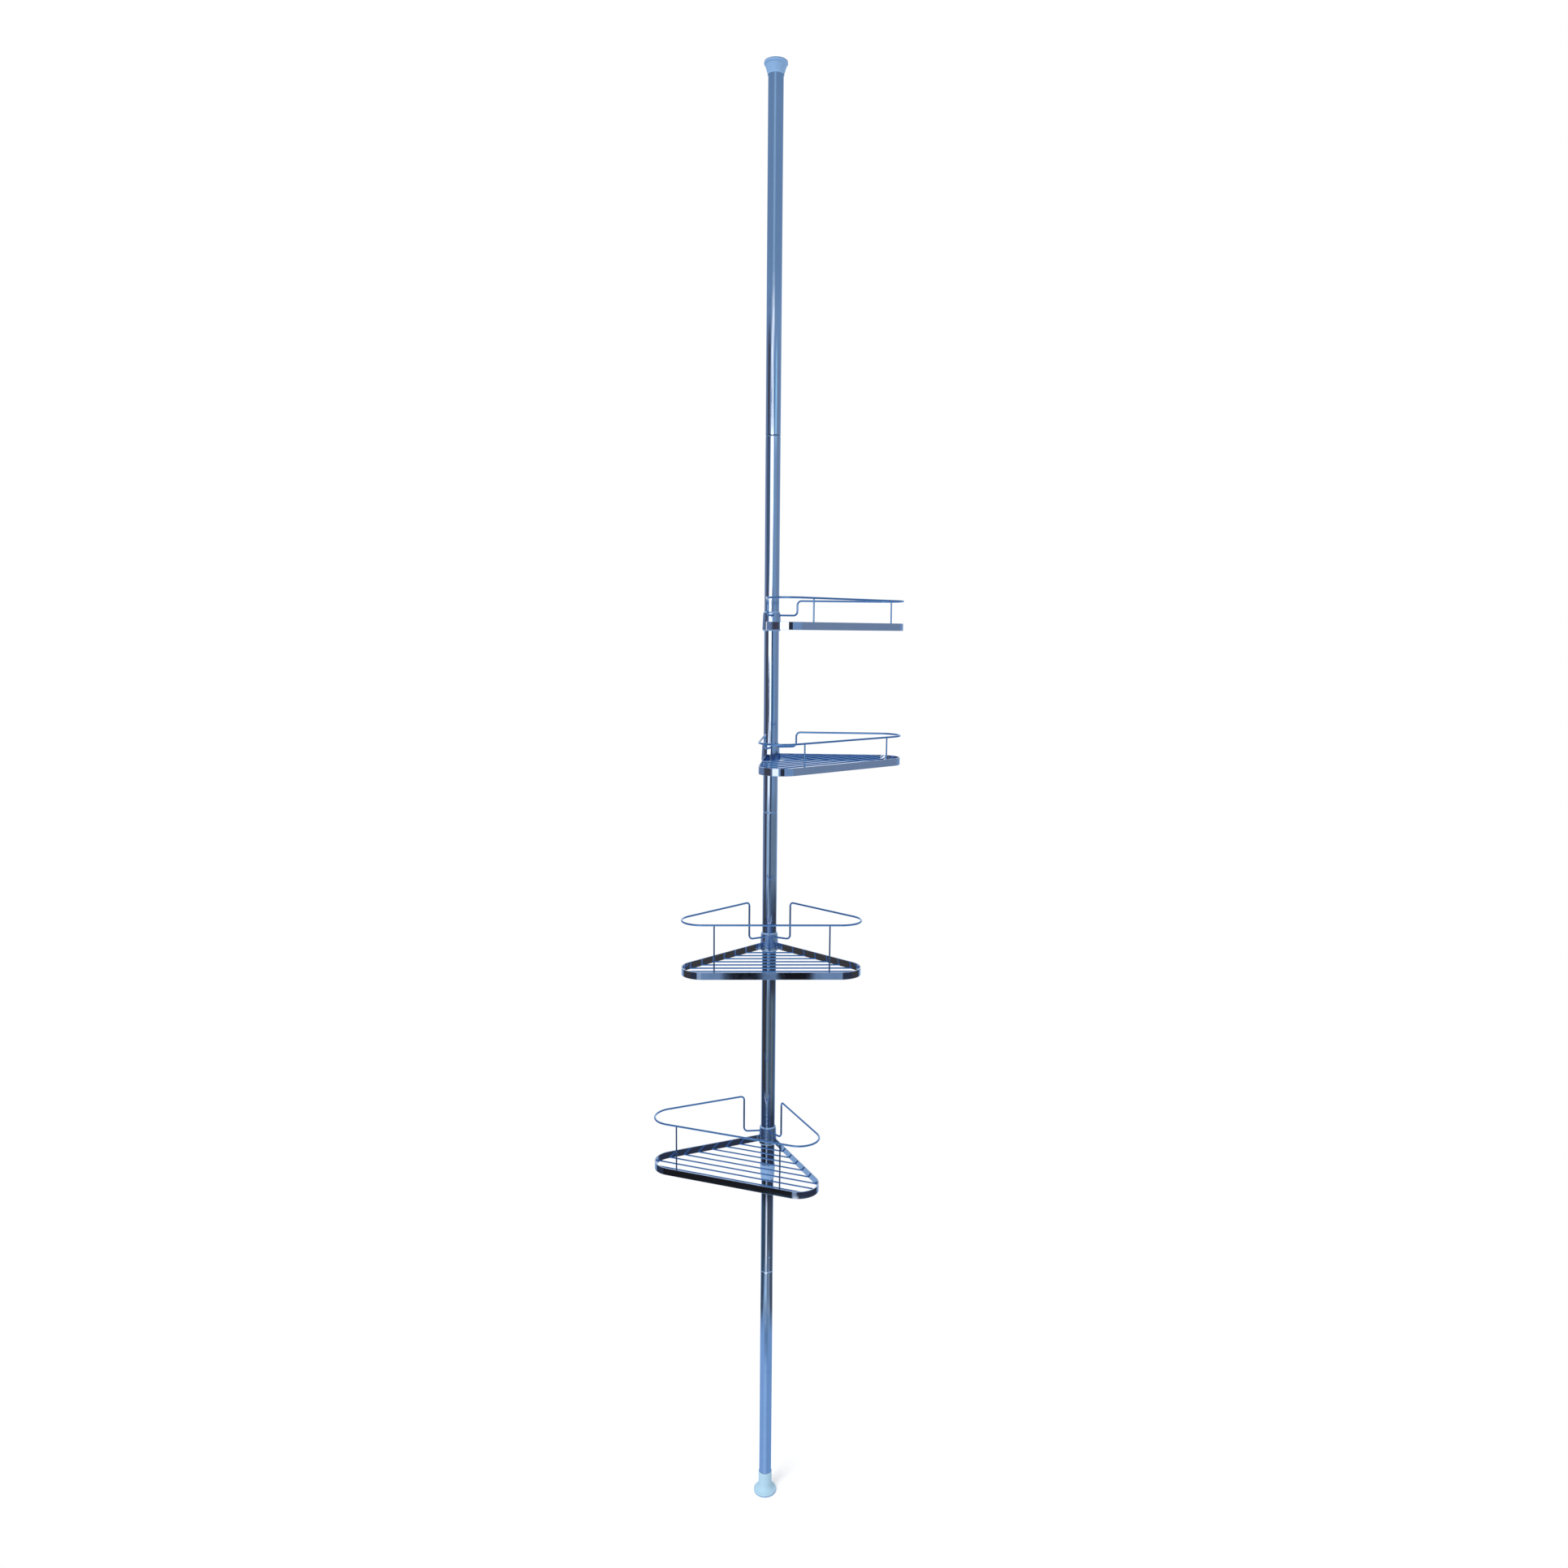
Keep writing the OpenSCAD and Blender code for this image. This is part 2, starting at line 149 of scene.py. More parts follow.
@dataclass(frozen=True)
class PlatedSteel:
    """Ground and polished steel, most of it plated with nickel and bright chromium.

    The polishing leaves faint lines along the metal and the rolling leaves a slow waviness, so
    a reflected edge wavers instead of running dead straight. Handling dulls it in soft patches.
    """

    name: str
    colour: str
    stain: str
    grain: Grain
    line_mm: float = 1.1
    line_depth_mm: float = 0.0011
    wave_mm: float = 120.0
    wave_depth_mm: float = 0.10
    smudge_mm: float = 28.0
    smudge_span: tuple[float, float] = (0.38, 0.72)
    line_dulling: float = 0.03
    polish: tuple[float, float] = (0.03, 0.09)

    def build(self) -> bpy.types.Material:
        """Makes the node material.

        Returns:
            The steel finish, whose lines are drawn coarser than real grinding so that they show.
        """
        material, tree, place = new_material(self.name)
        shader = tree.nodes["Principled BSDF"]
        stretched = add_node(
            tree, "ShaderNodeMapping", {"Vector": place, "Scale": self.grain.value})
        lines = add_node(
            tree, "ShaderNodeTexNoise",
            {"Vector": stretched.outputs[0], "Scale": 1 / (self.line_mm * MM), "Detail": 3.0})
        waves = add_node(
            tree, "ShaderNodeTexNoise",
            {"Vector": place, "Scale": 1 / (self.wave_mm * MM), "Detail": 1.0})
        smudges = add_node(
            tree, "ShaderNodeTexNoise",
            {"Vector": place, "Scale": 1 / (self.smudge_mm * MM), "Detail": 4.0,
             "Roughness": 0.6})
        dull = add_node(
            tree, "ShaderNodeMapRange",
            {"Value": smudges.outputs[0], "From Min": self.smudge_span[0],
             "From Max": self.smudge_span[1], "To Min": self.polish[0],
             "To Max": self.polish[1]},
            interpolation_type="SMOOTHSTEP")
        scored = add_node(
            tree, "ShaderNodeMath",
            {0: lines.outputs[0], 1: self.line_dulling, 2: dull.outputs[0]},
            operation="MULTIPLY_ADD")
        tint = add_node(
            tree, "ShaderNodeMix",
            {0: smudges.outputs[0], COLOUR_A: linear(self.colour),
             COLOUR_B: linear(self.stain)},
            data_type="RGBA")
        slow = add_node(
            tree, "ShaderNodeBump",
            {"Height": waves.outputs[0], "Distance": self.wave_depth_mm * MM, "Strength": 1.0})
        fine = add_node(
            tree, "ShaderNodeBump",
            {"Height": lines.outputs[0], "Distance": self.line_depth_mm * MM, "Strength": 1.0,
             "Normal": slow.outputs[0]})
        shader.inputs["Metallic"].default_value = 1.0
        tree.links.new(tint.outputs[2], shader.inputs["Base Color"])
        tree.links.new(scored.outputs[0], shader.inputs["Roughness"])
        tree.links.new(fine.outputs[0], shader.inputs["Normal"])
        return material


@dataclass(frozen=True)
class Moulded:
    """Plastic or rubber from a mould: a fine grain, soft gloss and slightly cloudy colour."""

    name: str
    colour: str
    cloud: str
    ior: float
    gloss: tuple[float, float] = (0.36, 0.5)
    grain_mm: float = 1.4
    grain_depth_mm: float = 0.008
    cloud_mm: float = 14.0
    cloud_span: tuple[float, float] = (0.3, 0.7)

    def build(self) -> bpy.types.Material:
        """Makes the node material.

        Returns:
            The moulded finish, whose grain stands for the eroded surface of its mould.
        """
        material, tree, place = new_material(self.name)
        shader = tree.nodes["Principled BSDF"]
        clouds = add_node(
            tree, "ShaderNodeTexNoise",
            {"Vector": place, "Scale": 1 / (self.cloud_mm * MM), "Detail": 3.0})
        grain = add_node(
            tree, "ShaderNodeTexNoise",
            {"Vector": place, "Scale": 1 / (self.grain_mm * MM), "Detail": 2.0})
        tint = add_node(
            tree, "ShaderNodeMix",
            {0: clouds.outputs[0], COLOUR_A: linear(self.colour),
             COLOUR_B: linear(self.cloud)},
            data_type="RGBA")
        sheen = add_node(
            tree, "ShaderNodeMapRange",
            {"Value": clouds.outputs[0], "From Min": self.cloud_span[0],
             "From Max": self.cloud_span[1], "To Min": self.gloss[0], "To Max": self.gloss[1]})
        bump = add_node(
            tree, "ShaderNodeBump",
            {"Height": grain.outputs[0], "Distance": self.grain_depth_mm * MM, "Strength": 1.0})
        shader.inputs["IOR"].default_value = self.ior
        tree.links.new(tint.outputs[2], shader.inputs["Base Color"])
        tree.links.new(sheen.outputs[0], shader.inputs["Roughness"])
        tree.links.new(bump.outputs[0], shader.inputs["Normal"])
        return material


FINISHES: dict[str, PlatedSteel | Moulded] = {
    # Drawn tube, belt-polished along its length: reflections are long streaks down the pole
    "chrome_tube": PlatedSteel("chrome_plated_tube", "#C3CFE2", "#B7C5DB", Grain.UP),
    # Flat strip, polished before bending: mirror-like with lines that follow the strip
    "chrome_band": PlatedSteel(
        "chrome_plated_strip", "#C3CFE2", "#B4C2D9", Grain.LEVEL, line_mm=0.9, wave_mm=60.0,
        wave_depth_mm=0.03, polish=(0.015, 0.05)),
    # Drawn wire, barrel-polished: small and bright with no clear direction. It is the same plate as
    # the tube, coloured a deeper blue as painted reflection of the dark blue surroundings that the
    # wires mirror
    "chrome_wire": PlatedSteel(
        "chrome_plated_wire_painted_reflection", "#86AEDA", "#749FCF", Grain.EVEN, wave_mm=40.0,
        polish=(0.08, 0.18)),
    # Turned collar: fine rings round it from the lathe
    "chrome_collar": PlatedSteel(
        "chrome_plated_collar", "#C3CFE2", "#B2C1D8", Grain.LEVEL, line_mm=0.7, wave_mm=30.0,
        wave_depth_mm=0.05, polish=(0.07, 0.16)),
    # Polyethylene foot: pale and waxy
    "foot_plastic": Moulded("moulded_polyethylene_foot", "#B7DAEC", "#A9CEE6", 1.51),
    # Polyethylene ceiling cap: the same plastic as the foot, coloured deeper to paint in the shade
    # on its downward-facing sides
    "cap_plastic": Moulded("moulded_polyethylene_cap_painted_shade", "#93BCE8", "#88B2E2", 1.51),
    # Polypropylene bush: smoother, so that it slides on the tube
    "bush_plastic": Moulded(
        "moulded_polypropylene_bush", "#8DB2E0", "#84A8D8", 1.49, gloss=(0.28, 0.4)),
    # Polypropylene wedge halves: pale and slightly rough, to grip the pole
    "wedge_plastic": Moulded("moulded_polypropylene_wedge", "#9DBFE6", "#90B4DF", 1.49),
    # Nylon inner pieces: milky
    "inner_plastic": Moulded("moulded_nylon_plug", "#D5DEE8", "#C8D2DE", 1.53),
    # Soft rubber pads, dyed like the plastic but matt
    "rubber": Moulded(
        "moulded_rubber_pad", "#7A9CC6", "#6F92BE", 1.52, gloss=(0.6, 0.75), grain_mm=0.6,
        grain_depth_mm=0.03),
    # Spring steel, hardened in oil: grey-brown and dull
    "spring_steel": PlatedSteel(
        "oil_hardened_spring_steel", "#7E838A", "#6A6660", Grain.EVEN, polish=(0.3, 0.45)),
    # Zinc-plated button: paler and softer than the chrome
    "button_steel": PlatedSteel(
        "zinc_plated_button", "#A9B6C9", "#98A5B8", Grain.EVEN, wave_mm=8.0,
        wave_depth_mm=0.01, polish=(0.16, 0.28)),
}


@dataclass(frozen=True)
class Corner:
    """A corner of an outline: its distance out, its height and the radius that rounds it."""

    out: float
    up: float
    fillet: float = 0.0


def rounded(corners: Sequence[Corner], closed: bool, steps: int = 5) -> Outline:
    """Rounds an outline's corners with arcs.

    Args:
        corners: The outline's corners in order.
        closed: Whether the last corner joins the first.
        steps: Segments in a right-angled arc.

    Returns:
        Points of the rounded outline.
    """
    points: Outline = []
    count = len(corners)
    for index, corner in enumerate(corners):
        here = Vector((corner.out, corner.up))
        if corner.fillet == 0 or (not closed and index in (0, count - 1)):
            points.append((here.x, here.y))
            continue
        before = Vector((corners[index - 1].out, corners[index - 1].up)) - here
        following = corners[(index + 1) % count]
        after = Vector((following.out, following.up)) - here
        before.normalize()
        after.normalize()
        half = before.angle(after) / 2
        middle = here + (before + after).normalized() * (corner.fillet / math.sin(half))
        start = here + before * (corner.fillet / math.tan(half)) - middle
        end = here + after * (corner.fillet / math.tan(half)) - middle
        sweep = start.angle_signed(end)
        parts = max(2, round(steps * abs(sweep) / (math.pi / 2)))
        for part in range(parts + 1):
            turned = Matrix.Rotation(-sweep * part / parts, 2) @ start
            points.append(tuple(middle + turned))
    return points


def new_object(name: str, mesh: bpy.types.Mesh) -> bpy.types.Object:
    """Puts a mesh into the scene as an object at the origin.

    Args:
        name: Name of the piece.
        mesh: Its mesh.

    Returns:
        The linked object.
    """
    piece = bpy.data.objects.new(name, mesh)
    bpy.context.scene.collection.objects.link(piece)
    return piece


def solid(name: str, shape: bmesh.types.BMesh) -> bpy.types.Object:
    """Ends the building of a closed mesh, with its faces turned outwards.

    Args:
        name: Name of the piece.
        shape: Mesh under construction, which is freed.

    Returns:
        The piece at the origin.
    """
    bmesh.ops.recalc_face_normals(shape, faces=shape.faces)
    mesh = bpy.data.meshes.new(name)
    shape.to_mesh(mesh)
    shape.free()
    return new_object(name, mesh)


def bake_down(piece: bpy.types.Object) -> None:
    """Replaces an object's mesh by what its modifiers make of it, and removes them."""
    view = bpy.context.evaluated_depsgraph_get()
    mesh = bpy.data.meshes.new_from_object(piece.evaluated_get(view))
    piece.modifiers.clear()
    spent = piece.data
    piece.data = mesh
    bpy.data.meshes.remove(spent)


def polish(piece: bpy.types.Object, crease: float = 38.0) -> None:
    """Smooths a mesh so that its wide faces reflect as true flats and cylinders.

    Args:
        piece: Object whose mesh is smoothed.
        crease: Angle in degrees past which an edge stays sharp.
    """
    mesh = piece.data
    mesh.polygons.foreach_set("use_smooth", [True] * len(mesh.polygons))
    mesh.set_sharp_from_angle(angle=math.radians(crease))
    weighted = piece.modifiers.new("face weights", "WEIGHTED_NORMAL")
    weighted.keep_sharp = True
    weighted.weight = FACE_WEIGHT
    bake_down(piece)


def lathe(name: str, outline: Outline, closed: bool, steps: int = 96) -> bpy.types.Object:
    """Turns an outline about the Z axis into a closed solid.

    Args:
        name: Name of the piece.
        outline: Distances out and heights, in millimetres.
        closed: Whether the outline is a ring's section. Otherwise it runs from axis to axis.
        steps: Segments round the axis.

    Returns:
        The turned piece.
    """
    shape = bmesh.new()
    rings = []
    for out, up in outline:
        if out < ON_AXIS:
            rings.append([shape.verts.new((0, 0, up * MM))] * steps)
            continue
        rings.append([
            shape.verts.new((out * MM * math.cos(turn), out * MM * math.sin(turn), up * MM))
            for turn in (math.tau * step / steps for step in range(steps))
        ])
    pairs = list(zip(rings, rings[1:]))
    if closed:
        pairs.append((rings[-1], rings[0]))
    for lower, upper in pairs:
        for step in range(steps):
            ahead = (step + 1) % steps
            corners = [lower[step], lower[ahead], upper[ahead], upper[step]]
            shape.faces.new(list(dict.fromkeys(corners)))
    return solid(name, shape)


def extrude(name: str, outline: Outline, width: float) -> bpy.types.Object:
    """Makes a plate of an outline in the XZ plane, as thick as its width along Y.

    Args:
        name: Name of the piece.
        outline: Closed outline of X and Z, in millimetres.
        width: Thickness in millimetres.

    Returns:
        The plate.
    """
    shape = bmesh.new()
    sides = [
        [shape.verts.new((out * MM, depth * MM, up * MM)) for out, up in outline]
        for depth in (-width / 2, width / 2)
    ]
    near, far = sides
    shape.faces.new(near)
    shape.faces.new(far)
    for index in range(len(outline)):
        ahead = (index + 1) % len(outline)
        shape.faces.new([near[index], near[ahead], far[ahead], far[index]])
    return solid(name, shape)


def seeds(
    name: str, points: Iterable[Vector], bends: Sequence[float] = (), path: bool = False
) -> bpy.types.Object:
    """Makes the loose points, or the path, from which a node tree grows a piece.

    Args:
        name: Name of the piece.
        points: Places in millimetres.
        bends: Radius of the bend at each point, in millimetres.
        path: Whether the points are joined in order.

    Returns:
        An object whose mesh holds them.
    """
    places = [tuple(Vector(point) * MM) for point in points]
    joins = [(index, index + 1) for index in range(len(places) - 1)] if path else []
    mesh = bpy.data.meshes.new(name)
    mesh.from_pydata(places, joins, [])
    if bends:
        radii = mesh.attributes.new("bend_radius", "FLOAT", "POINT")
        radii.data.foreach_set("value", [bend * MM for bend in bends])
    return new_object(name, mesh)


class NodeTool:
    """A Geometry Nodes tree with named inputs that grows a finished mesh from seeds."""

    def __init__(self, name: str, inputs: dict[str, str]) -> None:
        """Starts the tree.

        Args:
            name: Name of the tree.
            inputs: Kind of socket for each named input.
        """
        self.tree = bpy.data.node_groups.new(name, "GeometryNodeTree")
        sockets = self.tree.interface
        sockets.new_socket(
            name="Geometry", in_out="INPUT", socket_type="NodeSocketGeometry")
        self.keys = {
            label: sockets.new_socket(
                name=label, in_out="INPUT", socket_type=f"NodeSocket{kind}").identifier
            for label, kind in (inputs | {"Material": "Material"}).items()
        }
        sockets.new_socket(
            name="Geometry", in_out="OUTPUT", socket_type="NodeSocketGeometry")
        self.given = add_node(self.tree, "NodeGroupInput").outputs

    def add(
        self, kind: str, inputs: dict | None = None, **settings: object
    ) -> bpy.types.NodeOutputs:
        """Adds a node to this tree.

        Args:
            kind: Blender's type name of the node.
            inputs: Value or feeding socket for an input's name or number.
            settings: Values of the node's properties.

        Returns:
            The node's outputs.
        """
        return add_node(self.tree, kind, inputs, **settings).outputs

    def close(self, geometry: bpy.types.NodeSocket) -> None:
        """Ends the tree in real, smooth geometry that carries its material."""
        real = self.add("GeometryNodeRealizeInstances", {"Geometry": geometry})
        smooth = self.add("GeometryNodeSetShadeSmooth", {0: real[0]})
        dressed = self.add(
            "GeometryNodeSetMaterial",
            {"Geometry": smooth[0], "Material": self.given["Material"]})
        self.add("NodeGroupOutput", {0: dressed[0]})

    def round_bar(
        self, curve: bpy.types.NodeSocket, diameter: bpy.types.NodeSocket
    ) -> bpy.types.NodeSocket:
        """Sweeps a round section along a curve.

        Args:
            curve: Middle line of the wire.
            diameter: Socket that gives its thickness.

        Returns:
            The wire's closed surface.
        """
        half = self.add("ShaderNodeMath", {0: diameter, 1: 0.5}, operation="MULTIPLY")
        section = self.add(
            "GeometryNodeCurvePrimitiveCircle", {"Resolution": WIRE_SIDES, "Radius": half[0]})
        return self.add(
            "GeometryNodeCurveToMesh",
            {"Curve": curve, "Profile Curve": section[0], "Fill Caps": True})[0]

    def grow(self, piece: bpy.types.Object, values: dict[str, object]) -> None:
        """Runs the tree on an object and keeps the result as its plain mesh.

        Args:
            piece: Object that holds the seeds.
            values: Value of each named input.
        """
        modifier = piece.modifiers.new(self.tree.name, "NODES")
        modifier.node_group = self.tree
        for label, value in values.items():
            modifier[self.keys[label]] = value
        bake_down(piece)


class BentBar(NodeTool):
    """Sweeps a round wire or a flat strip on edge along a path with rounded bends."""

    def __init__(self, flat: bool) -> None:
        """Builds the tree.

        Args:
            flat: Whether the section is a strip on edge. Otherwise it is round.
        """
        sizes = {"Thickness": "Float", "Bend steps": "Int"}
        if flat:
            sizes |= {"Height": "Float", "Edge": "Float"}
        super().__init__("bent_strip" if flat else "bent_wire", sizes)
        path = self.add("GeometryNodeMeshToCurve", {"Mesh": self.given["Geometry"]})
        radius = self.add(
            "GeometryNodeInputNamedAttribute", {"Name": "bend_radius"}, data_type="FLOAT")
        bent = self.add(
            "GeometryNodeFilletCurve",
            {"Curve": path[0], "Count": self.given["Bend steps"], "Radius": radius[0]},
            mode="POLY")
        if not flat:
            self.close(self.round_bar(bent[0], self.given["Thickness"]))
            return
        upright = self.add("GeometryNodeSetCurveNormal", {"Curve": bent[0]}, mode="Z_UP")
        plain = self.add(
            "GeometryNodeCurvePrimitiveQuadrilateral",
            {"Width": self.given["Thickness"], "Height": self.given["Height"]})
        section = self.add(
            "GeometryNodeFilletCurve",
            {"Curve": plain[0], "Count": STRIP_EDGE_STEPS, "Radius": self.given["Edge"]},
            mode="POLY")
        swept = self.add(
            "GeometryNodeCurveToMesh",
            {"Curve": upright[0], "Profile Curve": section[0], "Fill Caps": True})
        self.close(swept[0])


class FloorWires(NodeTool):
    """Lays straight wires side by side, each as long as the band leaves room for."""

    def __init__(self) -> None:
        """Builds the tree."""
        super().__init__("floor_wires", {
            "Count": "Int", "First": "Float", "Pitch": "Float", "Level": "Float",
            "Leg gap": "Float", "Corner X": "Float", "Corner Y": "Float",
            "Corner radius": "Float", "Diameter": "Float",
        })
        given = self.given
        back = self.add("ShaderNodeMath", {0: given["First"], 1: -1.0}, operation="MULTIPLY")
        step = self.add("ShaderNodeMath", {0: given["Pitch"], 1: -1.0}, operation="MULTIPLY")
        start = self.add("ShaderNodeCombineXYZ", {"Y": back[0], "Z": given["Level"]})
        offset = self.add("ShaderNodeCombineXYZ", {"Y": step[0]})
        rows = self.add(
            "GeometryNodeMeshLine",
            {"Count": given["Count"], "Start Location": start[0], "Offset": offset[0]},
            mode="OFFSET")
        unit = self.add(
            "GeometryNodeCurvePrimitiveLine", {"Start": (-1, 0, 0), "End": (1, 0, 0)})
        lines = self.add(
            "GeometryNodeInstanceOnPoints", {"Points": rows[0], "Instance": unit[0]})
        real = self.add("GeometryNodeRealizeInstances", {"Geometry": lines[0]})
        place = self.add(
            "ShaderNodeSeparateXYZ", {0: self.add("GeometryNodeInputPosition")[0]})
        ahead = self.add(
            "ShaderNodeMath", {0: place["Y"], 1: given["Corner Y"]}, operation="SUBTRACT")
        touch = self.add(
            "ShaderNodeMath", {0: given["Corner radius"], 1: math.sin(math.pi / 4)},
            operation="MULTIPLY")
        on_leg = self.add(
            "ShaderNodeMath", {0: ahead[0], 1: touch[0]}, operation="GREATER_THAN")
        leg_room = self.add(
            "ShaderNodeMath", {0: given["Leg gap"], 1: place["Y"]}, operation="SUBTRACT")
        square = self.add("ShaderNodeMath", {0: ahead[0], 1: ahead[0]}, operation="MULTIPLY")
        radius = self.add(
            "ShaderNodeMath", {0: given["Corner radius"], 1: given["Corner radius"]},
            operation="MULTIPLY")
        rest = self.add("ShaderNodeMath", {0: radius[0], 1: square[0]}, operation="SUBTRACT")
        chord = self.add("ShaderNodeMath", {0: rest[0]}, operation="SQRT")
        bend_room = self.add(
            "ShaderNodeMath", {0: given["Corner X"], 1: chord[0]}, operation="ADD")
        room = self.add(
            "ShaderNodeMix", {0: on_leg[0], 2: bend_room[0], 3: leg_room[0]},
            data_type="FLOAT")
        reach = self.add("ShaderNodeMath", {0: place["X"], 1: room[0]}, operation="MULTIPLY")
        moved = self.add(
            "ShaderNodeCombineXYZ", {"X": reach[0], "Y": place["Y"], "Z": place["Z"]})
        cut = self.add(
            "GeometryNodeSetPosition", {"Geometry": real[0], "Position": moved[0]})
        self.close(self.round_bar(cut[0], given["Diameter"]))


class Posts(NodeTool):
    """Stands one short wire on each seed."""

    def __init__(self) -> None:
        """Builds the tree."""
        super().__init__("posts", {"Length": "Float", "Diameter": "Float"})
        top = self.add("ShaderNodeCombineXYZ", {"Z": self.given["Length"]})
        line = self.add("GeometryNodeCurvePrimitiveLine", {"End": top[0]})
        wire = self.round_bar(line[0], self.given["Diameter"])
        stood = self.add(
            "GeometryNodeInstanceOnPoints",
            {"Points": self.given["Geometry"], "Instance": wire})
        self.close(stood[0])


class Welds(NodeTool):
    """Leaves a small uneven nugget of resistance weld, plated over, on each seed."""

    SMALLEST = 0.8
    PITS_PER_M = 900.0

    def __init__(self) -> None:
        """Builds the tree."""
        super().__init__("welds", {"Size": "Float", "Unevenness": "Float", "Seed": "Int"})
        ball = self.add("GeometryNodeMeshIcoSphere", {"Radius": 1.0, "Subdivisions": 3})
        low = self.add(
            "ShaderNodeMath", {0: self.given["Size"], 1: self.SMALLEST}, operation="MULTIPLY")
        chance = self.add(
            "FunctionNodeRandomValue",
            {2: low[0], 3: self.given["Size"], "Seed": self.given["Seed"]},
            data_type="FLOAT")
        nuggets = self.add(
            "GeometryNodeInstanceOnPoints",
            {"Points": self.given["Geometry"], "Instance": ball[0], "Scale": chance[1]})
        real = self.add("GeometryNodeRealizeInstances", {"Geometry": nuggets[0]})
        noise = self.add("ShaderNodeTexNoise", {"Scale": self.PITS_PER_M, "Detail": 1.0})
        push = self.add(
            "ShaderNodeMath", {0: noise[0], 1: self.given["Unevenness"]},
            operation="MULTIPLY")
        inward = self.add(
            "ShaderNodeVectorMath",
            {0: self.add("GeometryNodeInputNormal")[0], "Scale": push[0]}, operation="SCALE")
        away = self.add(
            "ShaderNodeVectorMath", {0: inward[0], "Scale": -1.0}, operation="SCALE")
        pitted = self.add(
            "GeometryNodeSetPosition", {"Geometry": real[0], "Offset": away[0]})
        self.close(pitted[0])


class Workshop:
    """The finishes and node trees that the sub-assemblies share."""

    def __init__(self) -> None:
        """Builds every material and tree once."""
        self.materials = {slot: finish.build() for slot, finish in FINISHES.items()}
        self.strip = BentBar(flat=True)
        self.wire = BentBar(flat=False)
        self.floor_wires = FloorWires()
        self.posts = Posts()
        self.welds = Welds()


@dataclass
class SubAssembly:
    """Pieces that are built together. Each rides on a CAD body and may replace a CAD node."""

    shop: Workshop
    made: list[str] = field(default_factory=list)

    def hand_over(
        self, piece: bpy.types.Object, body: str, slot: str, nodes: Sequence[str] = ()
    ) -> None:
        """Dresses a finished piece and ties it to the frame.

        Args:
            piece: Object at the origin, with its place in its mesh.
            body: CAD body that it rides on.
            slot: Material slot of the record, which also picks its finish.
            nodes: CAD nodes that it stands for.
        """
        if not piece.data.materials:
            piece.data.materials.append(self.shop.materials[slot])
        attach(piece, body)
        if nodes:
            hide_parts(*nodes)
        self.made.append(piece.name)
        LOG.info("%s on %s: %d faces", piece.name, body, len(piece.data.polygons))


def span(node: str) -> tuple[float, float]:
    """Lowest and highest point of a CAD node, in millimetres."""
    low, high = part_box(node)
    return low[2] / MM, high[2] / MM


